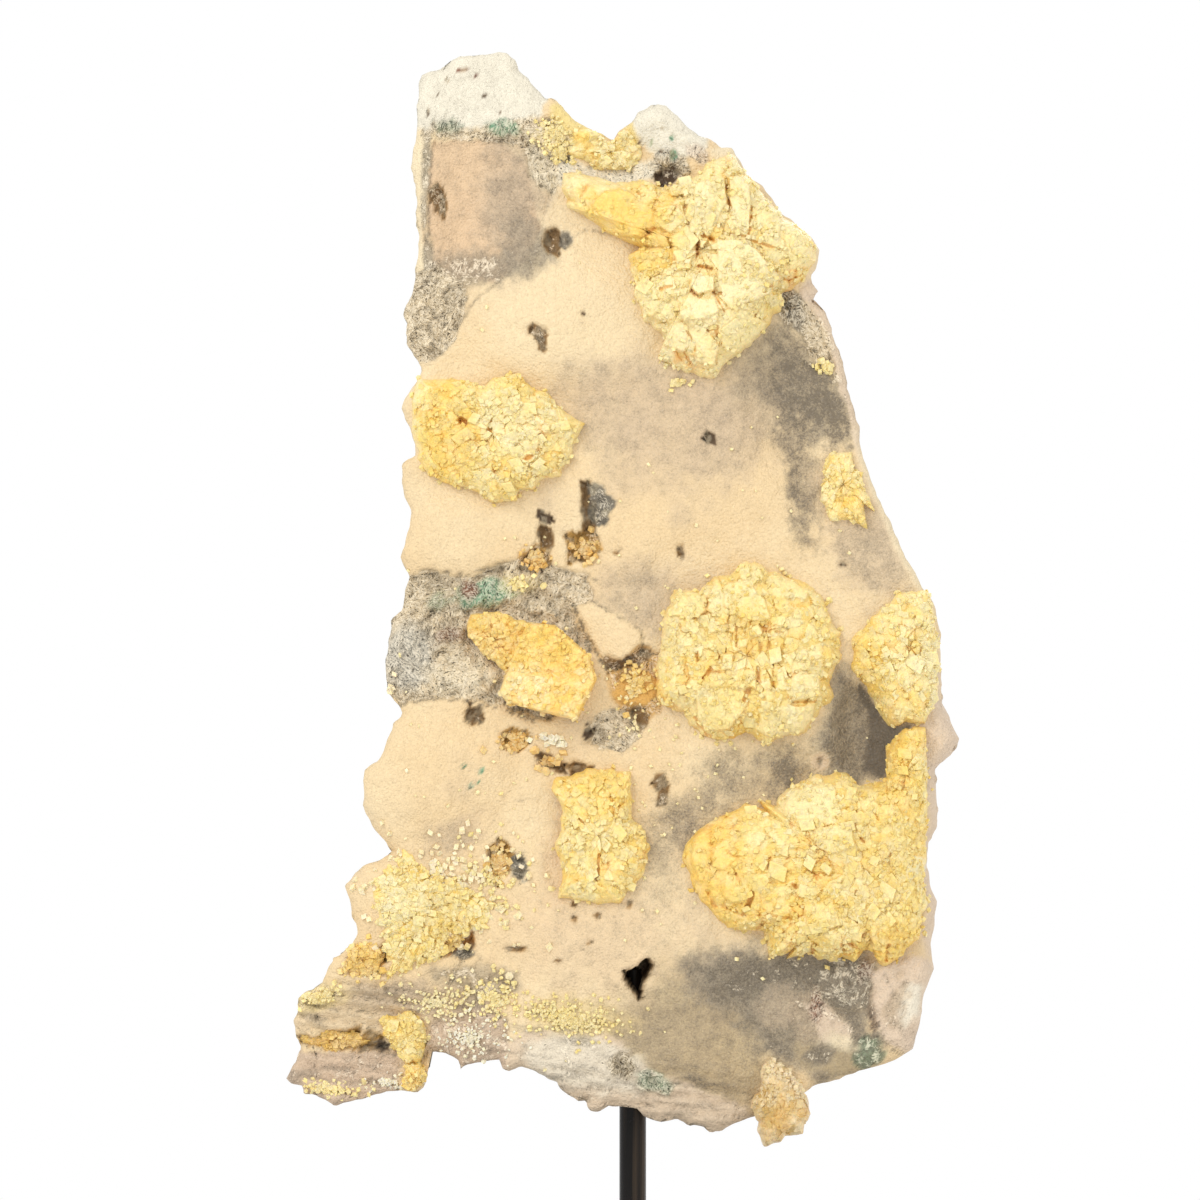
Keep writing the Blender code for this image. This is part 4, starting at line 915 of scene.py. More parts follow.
@dataclass
class RockSlab:
    """The slab of rock and druzy crust: one closed skin of a face grid, a wall and a back grid."""

    shape: SlabShape
    columns: int = 217
    rows: int = 325
    wall_rows: int = 9
    corners: tuple[Pair, ...] = ((-154.5, 143.5), (124.5, 157), (83, 512.5), (-94, 590.5))
    edge_noise: Waves = ((0.7, 6.0, Seed.RIM_WAVES), (0.45, 2.8, Seed.RIM_RIPPLES))
    calm_share: float = 0.05
    fade_share: float = 0.13
    wall_end: float = 0.94
    streaks_below: float = 192.0
    ledge_spots: tuple[Spot, ...] = (Spot(-128, 160, 36, 34), Spot(4, 136, 60, 16, 4))
    ledge_pitch: float = 5.5
    ledge_step: float = 2.0

    def side(self, start: Pair, end: Pair, count: int) -> Array:
        """One side of the outline, from a corner anticlockwise to the next, at even steps and a little rough.

        Args:
            start: The corner it starts at.
            end: The corner it ends at.
            count: How many points.

        Returns:
            The points.
        """
        ring = SLAB_OUTLINE[::-1]
        first = ring.index(start)
        run = ring[first:] + ring[:first]
        points = np.array(run[: run.index(end) + 1], float)
        length = np.concatenate([[0], np.cumsum(np.hypot(*np.diff(points, axis=0).T))])
        along = np.linspace(0, length[-1], count)
        line = np.stack([np.interp(along, length, points[:, axis]) for axis in (0, 1)], axis=1)
        ahead = np.gradient(line, axis=0)
        outward = np.stack([ahead[:, 1], -ahead[:, 0]], axis=1) / np.hypot(*ahead.T)[:, None]
        rough = waves(line[:, 0], line[:, 1], self.edge_noise)
        ends = np.clip(np.minimum(along, along[-1] - along) / 8, 0, 1)
        return line + outward * ((rough - 0.3) * ends)[:, None]

    def calm(self, line: Array) -> Array:
        """The same side without its scallops: its offset from a straight line, averaged along it."""
        straight = line[0] + np.linspace(0, 1, len(line))[:, None] * (line[-1] - line[0])
        off = line - straight
        span = np.arange(-len(line) + 1, len(line)) / (self.calm_share * len(line))
        bell = np.exp(-span * span)
        odd = np.concatenate([-off[:0:-1], off, -off[-2::-1]])
        middle = slice(len(line) - 1, 2 * len(line) - 1)
        eased = [np.convolve(odd[:, axis], bell / bell.sum(), "same")[middle] for axis in (0, 1)]
        return straight + np.stack(eased, axis=1)

    def lattice(self) -> tuple[Array, Array]:
        """Places for the face's grid, which follow the outline's four sides.

        Each place is blended between opposite sides, less the blend of the corners. Away from the rim the
        sides are smoothed ones, so that a scallop of the outline fades out within a short way.

        Returns:
            Places across and up, with a row for each height.
        """
        low_left, low_right, top_right, top_left = self.corners
        low = self.side(low_left, low_right, self.columns)
        right = self.side(low_right, top_right, self.rows)
        top = self.side(top_right, top_left, self.columns)[::-1]
        left = self.side(top_left, low_left, self.rows)[::-1]
        u = np.linspace(0, 1, self.columns)[None, :, None]
        v = np.linspace(0, 1, self.rows)[:, None, None]
        calm = [self.calm(line) for line in (low, right, top, left)]
        across = (1 - u) * calm[3][:, None] + u * calm[1][:, None]
        upward = (1 - v) * calm[0][None] + v * calm[2][None]
        blend = (1 - v) * ((1 - u) * low[0] + u * low[-1]) + v * ((1 - u) * top[0] + u * top[-1])
        places = across + upward - blend
        for line, smooth, way, shape in (
            (left, calm[3], u, (-1, 1)),
            (right, calm[1], 1 - u, (-1, 1)),
            (low, calm[0], v, (1, -1)),
            (top, calm[2], 1 - v, (1, -1)),
        ):
            fade = np.clip(1 - way / (2 * self.fade_share), 0, 1) ** 2
            places = places + fade * (line - smooth).reshape(*shape, 2)
        return places[..., 0], places[..., 1]

    def zones(self, x: Array, z: Array, distance: Array, fray: Fray) -> tuple[Array, Array, Array, Array]:
        """The crust's colour and marks: tones laid one over the other, patch by patch.

        Args:
            x: Places across.
            z: Places up.
            distance: Their distances from the outline.
            fray: The noise of the patches' edges.

        Returns:
            The colour, how rough the ground is, how grimy, and how far it is sunk.
        """
        cloud = octaves(x, z, 58, Seed.CLOUDS, 4, 0.6)
        colour = mixed(painted(Tone.CRUST, x.shape), Tone.PALE_CRUST, 0.5 + 1.6 * cloud)
        dusty = smoothstep(0.0, 0.5, octaves(x, z, 44, Seed.DUST, 4, 0.6))
        colour = mixed(colour, Tone.LILAC, 0.4 * dusty)
        blotches = np.clip(1 + 0.6 * octaves(x, z, 14, Seed.BLOTCHES, 3, 0.7), 0, 1.25)
        rough, grime, sunk = 0.0 * dusty, 0.2 * dusty * blotches, 0.0 * dusty
        for patch in PATCHES:
            weight = patch.weight(x, z, distance, fray)
            if patch.tone:
                colour = mixed(colour, patch.tone, patch.strength * weight)
                rough = rough * (1 - weight) + patch.rough * weight
                grime = grime * (1 - weight) + patch.grime * weight
                sunk = sunk * (1 - weight) + patch.sunk * weight
            else:
                grime = 1 - (1 - grime) * (1 - patch.grime * weight * blotches)
        return colour, rough, grime, sunk

    def relief(self, x: Array, z: Array, rough: Array) -> Array:
        """Fine relief: low waves on the crust, and broken facets and ridges where the rock shows."""
        crust = 0.5 * octaves(x, z, 12, Seed.CRUST_WAVES, 3) + 0.22 * octaves(x, z, 3.6, Seed.CRUST_RIPPLES,
            2)
        large = Cells.around(x, z, 6.5, Seed.LARGE_FACETS).facets(0.4, 1.0)
        small = Cells.around(x, z, 3.1, Seed.SMALL_FACETS).facets(0.5, 0.6)
        broken = large + small
        ridges = 1.4 * (1 - 2 * np.abs(octaves(x, z, 9, Seed.RIDGES, 3)))
        grain = np.random.default_rng(Seed.SUGAR).uniform(-1, 1, x.shape)
        return crust + 0.05 * grain + rough * (broken + ridges - 1.2 + 0.4 * grain)

    def layers(self, x: Array, z: Array, fray: Fray) -> Array:
        """Thin ledges where the rock is layered: on the wing and along the lower rim."""
        where = np.max([smoothstep(-4, 4, fray.at(spot, x, z, 3)) for spot in self.ledge_spots], axis=0)
        level = (z + 0.12 * x + 2.2 * octaves(x, z, 22, Seed.LEDGES, 3)) / self.ledge_pitch
        return where * self.ledge_step * (smoothstep(0, 0.75, level % 1.0) - 0.5)

    def face_part(self, x: Array, z: Array, distance: Array) -> Shell:
        """The face: its tones and marks with pits, streaks and steps laid over them, painted shade in its
        hollows, and its relief.

        Args:
            x: Places across.
            z: Places up.
            distance: Their distances from the outline.

        Returns:
            Its points with their colours and marks, without faces.
        """
        fray = Fray(x, z)
        colour, rough, grime, sunk = self.zones(x, z, distance, fray)
        fall, shares = hollowed(x, z, fray)
        depth_shade = np.zeros_like(x)
        crystals = Cells.around(x, z, 2.6, Seed.PIT_CRYSTALS)
        for pit, share in zip(PITS, shares):
            inside = smoothstep(0.1, 0.6, share)
            pale = 0.5 * inside * (crystals.lot[..., 0] > 0.35)
            colour = mixed(mixed(colour, pit.tone, inside), Tone.CREAM, pale)
            rough = np.where(share > 0.2, 0.5 * pit.rough * share, rough)
            grime = np.where(share > 0.2, 0.15, grime)
            # Painted shade: the deeper the pit, the darker its inside is painted
            depth_shade = np.maximum(depth_shade, share * min(1.0, (pit.depth + 4) / 13))
        streaks = smoothstep(0.1, 0.7, lattice_noise(x + 0.3 * z, 5 * z + 0.6 * x, 9, Seed.STREAKS))
        streaks = streaks * (z < self.streaks_below)
        grime = grime + 0.42 * streaks * smoothstep(-6, 6, Plot(LAYERED).inward(x, z))
        # Painted shade in the crevices along the crust's edges, laid on through the grime and the depth shade
        step = np.max([edge.crevice_shade * edge.notch(x, z) for edge in CRUST_EDGES], axis=0)
        grime, depth_shade = np.maximum(grime, 0.9 * step), np.maximum(depth_shade, 0.5 * step)
        sunk = sunk + step
        grain = crystals.facets(0.5, 1.0) * smoothstep(0.4, 2, fall)
        relief = self.relief(x, z, rough)
        height = self.shape.face(x, z, distance) + (relief - sunk) * (0.3 + 0.7 * smoothstep(0, 4, distance))
        height = height + self.layers(x, z, fray) - fall + grain
        # Painted light and shade: on rough ground, high points are painted lighter and hollows darker by the
        # relief's height
        colour = colour * (1 + 0.1 * np.clip(relief, -2, 1) * rough)[..., None]
        return self.part((x, -height, z), colour, marks_of(x.size, depth_shade, rough, grime))

    def wall_part(self, edge: Array, edge_colour: Array) -> Shell:
        """The broken wall: rows of points from the face's edge to just short of the back's.

        Args:
            edge: The points of the face's edge.
            edge_colour: Their colours.

        Returns:
            Its points with their colours and marks, without faces.
        """
        edge_x, edge_y, edge_z = edge.T
        back_y = self.shape.back(edge_x, edge_z, np.zeros_like(edge_x))
        share = np.linspace(0, self.wall_end, self.wall_rows + 1)[1:, None]
        y = edge_y * (1 - share) + back_y * share
        share = np.broadcast_to(share, y.shape)
        x, z = self.shape.drawn_in(*np.broadcast_arrays(edge_x, edge_z, y), share)
        cells = Cells.around(edge_x + edge_z + 0 * y, y + edge_x - edge_z, 7, Seed.WALL_CHIPS)
        chips = np.clip(cells.facets(0.4, 1.4) * smoothstep(0, 0.2, share) + 0.6, 0, None)
        x, z = self.shape.inwards(x, z, chips)
        colour = self.wall_colour(x, y, z, edge_colour, share)
        rough = 0.06 * smoothstep(0.1, 0.4, octaves(x + z, y - z, 30, Seed.WALL_ROUGH))
        return self.part((x, y, z), colour, marks_of(x.size, 0.0, rough, 0.3))

    def rear_part(self, x: Array, z: Array, distance: Array) -> Shell:
        """The back, whose points have to be every second one of the face's each way.

        Args:
            x: Places across.
            z: Places up.
            distance: Their distances from the outline.

        Returns:
            Its points with their colours and marks, without faces.
        """
        y = self.shape.back(x, z, distance)
        x, z = self.shape.drawn_in(x, z, y, np.ones_like(x))
        y = y + Cells.around(x, z, 19, Seed.REAR_LARGE_FACETS).facets(0.26, 2.2)
        y = y + 0.8 * octaves(x, z, 8, Seed.REAR_WAVES)
        y = y + Cells.around(x, z, 7.5, Seed.REAR_SMALL_FACETS).facets(0.26, 1.0)
        rough = 0.06 * smoothstep(0.0, 0.4, octaves(x, z, 34, Seed.REAR_ROUGH))
        grime = 0.15 + 0.4 * smoothstep(0.0, 0.5, octaves(x, z, 16, Seed.REAR_GRIME))
        return self.part((x, y, z), self.rear_colour(x, z), marks_of(x.size, 0.0, rough, grime))

    @staticmethod
    def part(places: tuple[Array, Array, Array], colour: Array, marks: Array) -> Shell:
        """Points with their colours and marks, without faces, from grids of x, y and z."""
        return Shell(np.stack([axis.ravel() for axis in places], axis=1), [], colour.reshape(-1, 3), marks)

    def shell(self) -> Shell:
        """The whole skin: the face grid, rows of wall behind its edge, and a back grid of half the steps."""
        x, z = self.lattice()
        distance = self.shape.rim_distance(x, z)
        edge = border(np.arange(x.size).reshape(x.shape))
        face = self.face_part(x, z, distance)
        wall = self.wall_part(face.points[edge], face.colour[edge])
        half = (slice(None, None, 2), slice(None, None, 2))
        rear = self.rear_part(x[half], z[half], distance[half])
        parts = (face, wall, rear)
        return Shell(
            np.concatenate([part.points for part in parts]),
            self.faces(edge, x.size, len(wall.points), x[half].shape),
            np.concatenate([part.colour for part in parts]),
            np.concatenate([part.marks for part in parts]),
        )

    def faces(
        self, edge: Array, face_count: int, wall_count: int, rear_shape: tuple[int, int]
    ) -> list[Array]:
        """The skin's faces: face quads, wall quads, a strip that halves the steps, and back quads.

        Args:
            edge: The face grid's border points, anticlockwise.
            face_count: How many points the face has.
            wall_count: How many points the wall has.
            rear_shape: The back grid's rows and columns.

        Returns:
            Quads and triangles, all facing outwards.
        """
        around = len(edge)
        rings = np.vstack([edge, face_count + np.arange(wall_count).reshape(-1, around)])
        following = np.roll(rings, -1, axis=1)
        wall = np.stack([rings[:-1], rings[1:], following[1:], following[:-1]], axis=-1).reshape(-1, 4)
        rear = (face_count + wall_count + np.arange(rear_shape[0] * rear_shape[1])).reshape(rear_shape)
        loop = border(rear)
        last = rings[-1]
        first, middle, third = last[0::2], last[1::2], np.roll(last, -2)[0::2]
        after = np.roll(loop, -1)
        corners = ((first, loop, middle), (middle, loop, after), (middle, after, third))
        strip = np.concatenate([np.stack(corner, axis=1) for corner in corners])
        back = grid_quads(*rear_shape)[:, ::-1] + face_count + wall_count
        return [grid_quads(self.rows, self.columns), wall, strip, back]

    def wall_colour(self, x: Array, y: Array, z: Array, edge: Array, share: Array) -> Array:
        """The broken wall's colour: banded pinkish grey rock, and at the rim the face's own colour."""
        band = 0.5 + 0.5 * np.sin(y / 3.1 + 2.4 * octaves(x + z, y, 26, Seed.WALL_BANDS, 3))
        rock = mixed(painted(Tone.PINK, x.shape), Tone.BROWN_GREY, 0.75 * band)
        rock = mixed(rock, Tone.GREY, smoothstep(0.0, 0.5, octaves(x + 2 * y, z, 30, Seed.WALL_GREY, 3)))
        return mixed(np.broadcast_to(edge, rock.shape), rock, smoothstep(0.0, 0.25, share))

    def rear_colour(self, x: Array, z: Array) -> Array:
        """The back's colour: rough grey-green rock with rusty and pale stretches."""
        brown = 0.5 + octaves(x, z, 50, Seed.REAR_BROWN)
        rock = mixed(painted(Tone.GREY, x.shape), Tone.BROWN_GREY, brown)
        rock = mixed(rock, Tone.SLATE, smoothstep(0.0, 0.6, octaves(x, z, 34, Seed.REAR_SLATE)))
        return mixed(rock, Tone.PINK, 0.8 * smoothstep(0.15, 0.5, octaves(x, z, 28, Seed.REAR_PINK)))

    def build(self, finish: bpy.types.Material) -> bpy.types.Object:
        """Makes the slab, in place of the frame's plain solid."""
        slab = joined("druzy_slab", [self.shell()], finish)
        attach(slab, "root")
        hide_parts("rock_slab")
        return slab


@dataclass(frozen=True)
class Block:
    """A cube with rounded edges as points and quads, from -1 to 1 along each axis."""

    points: Array
    quads: Array

    @classmethod
    def rounded(cls, radius: float) -> "Block":
        """A block whose edges are eased by one narrow face each: 54 quads, or 6 with no radius.

        Each side is a lattice with a line near each edge. A point's part beyond the inner box is cut to the
        radius, which rounds the edges and the corners.
        """
        stops = [-1.0, 1.0] if radius == 0 else [-1.0, radius - 1, 1 - radius, 1.0]
        lattice = np.array(list(itertools.product(stops, repeat=3)))
        outer = np.abs(lattice).max(axis=1) == 1
        number = np.cumsum(outer) - 1
        index = np.where(outer, number, -1).reshape((len(stops),) * 3)
        quads = []
        for axis, end in itertools.product(range(3), (0, -1)):
            side = np.take(index, end, axis=axis)
            around = [side[:-1, :-1], side[1:, :-1], side[1:, 1:], side[:-1, 1:]]
            if (end == 0) != (axis == 1):
                around = around[::-1]
            quads.append(np.stack([corner.ravel() for corner in around], axis=1))
        points = lattice[outer]
        if radius:
            inner = np.clip(points, radius - 1, 1 - radius)
            beyond = points - inner
            points = inner + radius * beyond / np.linalg.norm(beyond, axis=1, keepdims=True)
        return cls(points, np.concatenate(quads))


PLAIN_BLOCK = Block.rounded(0.0)
EASED_BLOCK = Block.rounded(0.13)
# Some way that no crystal faces exactly, from which its first turn is measured
ODD_WAY = (0.31, 0.27, 0.91)


def frames(outward: Array, spin: Array, lean: Array) -> Array:
    """Turns that point a block's X side outwards.

    Args:
        outward: The way each block faces.
        spin: Its turn about that way, in radians.
        lean: How far it leans aside, as two shares of its outward step.

    Returns:
        One rotation matrix each, its columns the block's own axes.
    """
    aside = unit(np.cross(outward, ODD_WAY))
    over = np.cross(outward, aside)
    turned = np.cos(spin)[:, None] * aside + np.sin(spin)[:, None] * over
    facing = unit(outward + lean[:, :1] * turned + lean[:, 1:] * np.cross(outward, turned))
    third = unit(np.cross(facing, turned))
    return np.stack([facing, np.cross(third, facing), third], axis=2)


def rhombs(block: Block, centres: Array, turns: Array, sides: Array) -> Array:
    """The corners of many calcite rhombs: a block stretched to its sides, pressed, turned and placed."""
    press = np.eye(3) - (1 - RHOMB_PRESS) * np.ones((3, 3)) / 3
    stretched = block.points[None] * sides[:, None] / 2
    return centres[:, None] + np.einsum("nij,jk,npk->npi", turns, press, stretched)


def many(block: Block, points: Array) -> Array:
    """The quads of many copies of a block whose points follow each other."""
    return (block.quads[None] + np.arange(len(points))[:, None, None] * len(block.points)).reshape(-1, 4)


def tumbled(rng: np.random.Generator, ways: Array) -> Array:
    """Turns of blocks that face those ways, each spun at random."""
    return frames(unit(ways), rng.uniform(0, 6, len(ways)), np.zeros((len(ways), 2)))


def each_point(block: Block, values: Array) -> Array:
    """One value for each block, repeated for each of its points."""
    return np.repeat(values, len(block.points)).reshape(len(values), -1)


@dataclass(frozen=True)
class Palette:
    """The tones of a cluster: its tops, its body, its warm stretches, and the tone of its depths, which
    paints their orange together with shade.
    """

    top: Tone = Tone.PALE_YELLOW
    body: Tone = Tone.YELLOW
    warm: Tone = Tone.GOLD
    depth: Tone = Tone.ORANGE


# The step across and up over which a mound's facing is taken
PROBE_STEP = 1.6
# What is added towards the viewer to the ways that a cluster's rhombs and its grains face
RHOMB_FORWARD = 0.45
GRAIN_FORWARD = 0.8
# The shares of the way out at which the rhombs end and at which the mound's facets begin to fade
SPREAD_END = 0.97
FACET_END = 0.97
# The share of its size by which a rhomb's middle is sunk
RHOMB_SUNK = 0.4
GRAIN_SIZE = (1.0, 2.3)
# The depths of seams, of cracks by their half width, and of the point that closes a mound in the rock
SEAM_DEPTH = 0.7
CRACK_DEPTH = 1.3
BASE_DEPTH = 4
HONEY_PALETTE = Palette(Tone.YELLOW, Tone.HONEY, Tone.HONEY, Tone.DEEP_HONEY)
DULL_PALETTE = Palette(Tone.HONEY, Tone.DULL_GOLD, Tone.DULL_GOLD, Tone.RUST)


@dataclass(frozen=True)
class Plate:
    """A large flat crystal face in a mound: its ring, its height, its slopes and how pale it is."""

    ring: tuple[Pair, ...]
    lift: float
    slope: Pair = (0.0, 0.0)
    pale: float = 0.0

    def middle(self) -> Array:
        """The mean of its corners."""
        return np.mean(self.ring, axis=0)


@dataclass
class Flower:
    """A calcite cluster: a mound of broken crystal faces inside an outline, with rhombs and grains in it.

    The mound's blades run out from the eye. The wheel is the distance from it at which a blade is as wide
    as the largest crystals.
    """

    node: str
    heart: Pair
    outline: tuple[Pair, ...]
    rise: float
    size: Pair
    seed: int
    shape: SlabShape
    plates: tuple[Plate, ...] = ()
    cracks: tuple[Crack, ...] = ()
    palette: Palette = field(default_factory=Palette)
    cover: float = 0.5
    sunk: float = 0.0
    slot: str = "yellow_calcite"
    angles: int = 300
    rings: int = 56
    root: float = 3.5
    eye: Pair | None = None
    wheel: float = 16.0
    soft: float = 1.0
    steep: float = 4.5
    warmth: float = 0.0
    grain_space: float = 8.0
    chips: float = 0.9
    held: Pair | None = None
    also: tuple["Flower", ...] = ()
    warm: tuple[Spot, ...] = ()

    def radius(self, angle: Array) -> Array:
        """How far the outline lies from the heart at each angle, by straight lines between its points."""
        points = np.array(self.outline, float) - np.array(self.heart)
        at = np.arctan2(points[:, 1], points[:, 0])
        order = np.argsort(at)
        points, at = points[order], at[order]
        turn = (angle + np.pi) % (2 * np.pi) - np.pi
        after = np.searchsorted(at, turn) % len(at)
        corner, side = points[after - 1], points[after] - points[after - 1]
        beyond = np.cos(turn) * side[..., 1] - np.sin(turn) * side[..., 0]
        reach = (corner[..., 0] * side[..., 1] - corner[..., 1] * side[..., 0]) / beyond
        x, z = reach * np.cos(angle), reach * np.sin(angle)
        ripples = lattice_noise(x, z, 2.6, self.seed + Draw.RIM_RIPPLES)
        return reach + self.chips * (ripples + lattice_noise(x, z, 6, self.seed + Draw.RIM_WAVES))

    def place(self, angle: Array, share: Array) -> tuple[Array, Array]:
        """Places across and up, at those angles and shares of the way from the heart to the outline."""
        far = share * self.radius(angle)
        return self.heart[0] + far * np.cos(angle), self.heart[1] + far * np.sin(angle)

    def area(self) -> float:
        """The area inside the outline, from its radius at even angles."""
        return np.mean(self.radius(np.linspace(-np.pi, np.pi, 90)) ** 2) * np.pi

    def share_out(self, x: Array, z: Array) -> Array:
        """How far out towards the outline each place lies, from 0 at the heart to 1."""
        off_x, off_z = x - self.heart[0], z - self.heart[1]
        return np.hypot(off_x, off_z) / self.radius(np.arctan2(off_z, off_x))

    def mound_rise(self, x: Array, z: Array) -> Array:
        """How far the mound stands off the face: a steep-sided dome with a slightly uneven top."""
        share = self.share_out(x, z)
        dome = np.clip(1 - np.clip(share, 0, 1) ** self.steep, 0, 1) ** 0.6
        return self.rise * dome * (0.9 + 0.12 * octaves(x, z, 20, self.seed + Draw.DOME, 2))

    def broken(self, x: Array, z: Array) -> tuple[Array, Array, Array]:
        """The mound's broken surface: blades that run out from the eye, blocks, grains and the listed plates.

        Args:
            x: Places across.
            z: Places up.

        Returns:
            The height over the dome, how much painted shade each place takes in its grooves, and how pale it
            is.
        """
        small, large = self.size
        eye = self.eye or self.heart
        far = np.hypot(x - eye[0], z - eye[1])
        turned = np.arctan2(z - eye[1], x - eye[0]) * self.wheel
        blades = Cells.around(turned, 0.8 * far, 0.9 * large, self.seed + Draw.BLADES)
        blocks = Cells.around(x, z, 1.15 * small, self.seed + Draw.BLOCKS)
        grains = Cells.around(x, z, 2.1, self.seed + Draw.GRAINS)
        height = blades.facets(0.15, 0.06 * large) + blocks.facets(0.22, 0.12 * small) - 0.7 * blocks.near**2
        open_seam = smoothstep(0.3, 0.65, octaves(x, z, 11, self.seed + Draw.SEAMS, 2))
        seam = open_seam * np.maximum(smoothstep(0.16, 0.02, blocks.border),
            smoothstep(0.09, 0.01, blades.border))
        height = height - SEAM_DEPTH * seam
        pale = 0.35 * blades.lot[..., 2] + 0.35 * blocks.lot[..., 1]
        # Painted shade in the seams and in the valleys between the blocks
        depth_shade = 0.5 * seam + 0.12 * smoothstep(0.3, 0.9, blocks.near)
        flat = np.zeros_like(x)
        for plate in self.plates:
            inward = Plot(plate.ring).inward(x, z) + 0.4 * lattice_noise(x, z, 3,
                self.seed + Draw.PLATE_RIPPLES)
            inward = inward + 0.4 * lattice_noise(x, z, 7, self.seed + Draw.PLATE_WAVES)
            within = smoothstep(-0.4, 0.4, inward)
            middle = plate.middle()
            level = plate.lift + plate.slope[0] * (x - middle[0]) + plate.slope[1] * (z - middle[1])
            height = height * (1 - within) + (level + 0.3 * height) * within
            flat = np.maximum(flat, within)
            edge = smoothstep(0.9, 0.1, np.abs(inward)) * (0.35 + 0.65 * open_seam)
            height = height - 0.15 * edge
            # Painted shade along the plate's edge, and less of it on the plate
            depth_shade = depth_shade * (1 - 0.9 * within) + 0.2 * edge
            pale = pale * (1 - 0.7 * within) + plate.pale * 0.7 * within
        for crack in self.cracks:
            notch = crack.notch(x, z)
            height = height - CRACK_DEPTH * crack.half * notch
            # Painted shade in the crack
            depth_shade = np.maximum(depth_shade, 0.8 * crack.crevice_shade * notch)
        height = height * self.soft + (1 - 0.4 * flat) * grains.facets(0.14, 0.24)
        return height, np.clip(depth_shade, 0, 1), pale

    def ground(self, x: Array, z: Array) -> Array:
        """The height the mound rises from: the face's there, or where a hanging mound is held."""
        at = (x, z) if self.held is None else (np.full_like(x, place) for place in self.held)
        return self.shape.face(*at) - self.sunk

    def surface(self, x: Array, z: Array) -> Array:
        """The mound's points without its broken facets, from places on the face."""
        height = self.ground(x, z) + self.mound_rise(x, z)
        return np.stack([x, -height, z], axis=-1)

    def tinted(self, points: Array, pale: Array, depth_shade: Array) -> Array:
        """Colours by place: warm stretches, each crystal's own paleness, and in the depths orange and rust
        that paint the crevices' colour together with shade.
        """
        x, z = points[..., 0], points[..., 2]
        warm = self.warmth + 0.7 * octaves(x, z, 24, self.seed + Draw.WARMTH, 3)
        for spot in self.warm:
            warm = warm + smoothstep(-8, 8, spot.inward(x, z))
        tone = pale - warm
        colour = mixed(painted(self.palette.body, x.shape), self.palette.top, np.clip(0.35 + tone, 0, 1))
        colour = mixed(colour, self.palette.warm, np.clip(-tone, 0, 0.9))
        # Painted shade: the deeper a place lies, the more orange and then rust it is; the orange is partly
        # the calcite's own colour
        colour = mixed(colour, self.palette.depth, 1.4 * depth_shade)
        return mixed(colour, Tone.RUST, 1.4 * depth_shade - 0.8)

    def mound(self) -> Shell:
        """The mound: rings from the heart out to the outline, closed by a ring and a point in the rock."""
        angle = np.linspace(0, 2 * np.pi, self.angles, endpoint=False)[None]
        share = np.linspace(0, 1, self.rings)[1:, None]
        x, z = self.place(angle, share)
        height, depth_shade, pale = self.broken(x, z)
        skin = self.surface(x, z)
        skin[..., 1] -= height * smoothstep(1.0, FACET_END, share)
        foot = skin[-1] + [0, self.root + self.sunk, 0]
        heart = skin[0].mean(axis=0)[None]
        base = heart + [0, self.rise + self.root + self.sunk + BASE_DEPTH, 0]
        points = np.concatenate([heart, skin.reshape(-1, 3), foot, base])
        ring = 1 + np.arange(self.rings * self.angles).reshape(self.rings, self.angles)
        after = np.roll(ring, -1, axis=1)
        quads = np.stack([ring[:-1], ring[1:], after[1:], after[:-1]], axis=-1).reshape(-1, 4)
        first, last = np.zeros(self.angles, int), np.full(self.angles, len(points) - 1)
        caps = np.concatenate([np.stack([first, ring[0], after[0]], 1),
            np.stack([last, after[-1], ring[-1]], 1)])
        # Painted shade at the mound's foot: the ring and point that close it in the rock, and a thin band at
        # its edge, are painted orange
        tail = np.full(self.angles + 1, 0.4)
        depth_shade = np.concatenate([depth_shade[0, :1], depth_shade.ravel(), tail])
        pale = np.concatenate([pale[0, :1], pale.ravel(), 0 * tail])
        depth_shade = np.clip(depth_shade + 0.08 * smoothstep(0.95, 1.0, self.share_out(points[:, 0], points[:, 2])), 0, 1)
        colour = self.tinted(points, pale, depth_shade)
        return Shell(points, [quads, caps], colour, marks_of(len(points), depth_shade), smooth=False)

    def scattered(self) -> tuple[Array, Array, Array]:
        """Places for the small rhombs, on a golden-angle spiral shaped to the outline.

        Returns:
            Places across and up, and each one's share of the way out to the outline.
        """
        rng = np.random.default_rng(self.seed + Draw.SPREAD)
        count = int(self.cover * self.area() / np.mean(self.size) ** 2)
        number = np.arange(count)
        angle = (number * GOLDEN_ANGLE + rng.uniform(-0.35, 0.35, count)) % (2 * np.pi) - np.pi
        share = np.sqrt((number + 0.5) / count) * SPREAD_END
        return *self.place(angle, share), share

    def outward(self, x: Array, z: Array) -> Array:
        """The way the mound faces at each place, from the steps of its surface across and up."""
        here, step = self.surface(x, z), PROBE_STEP
        across = self.surface(x + step, z) - here
        up = self.surface(x, z + step) - here
        return unit(np.cross(across, up))

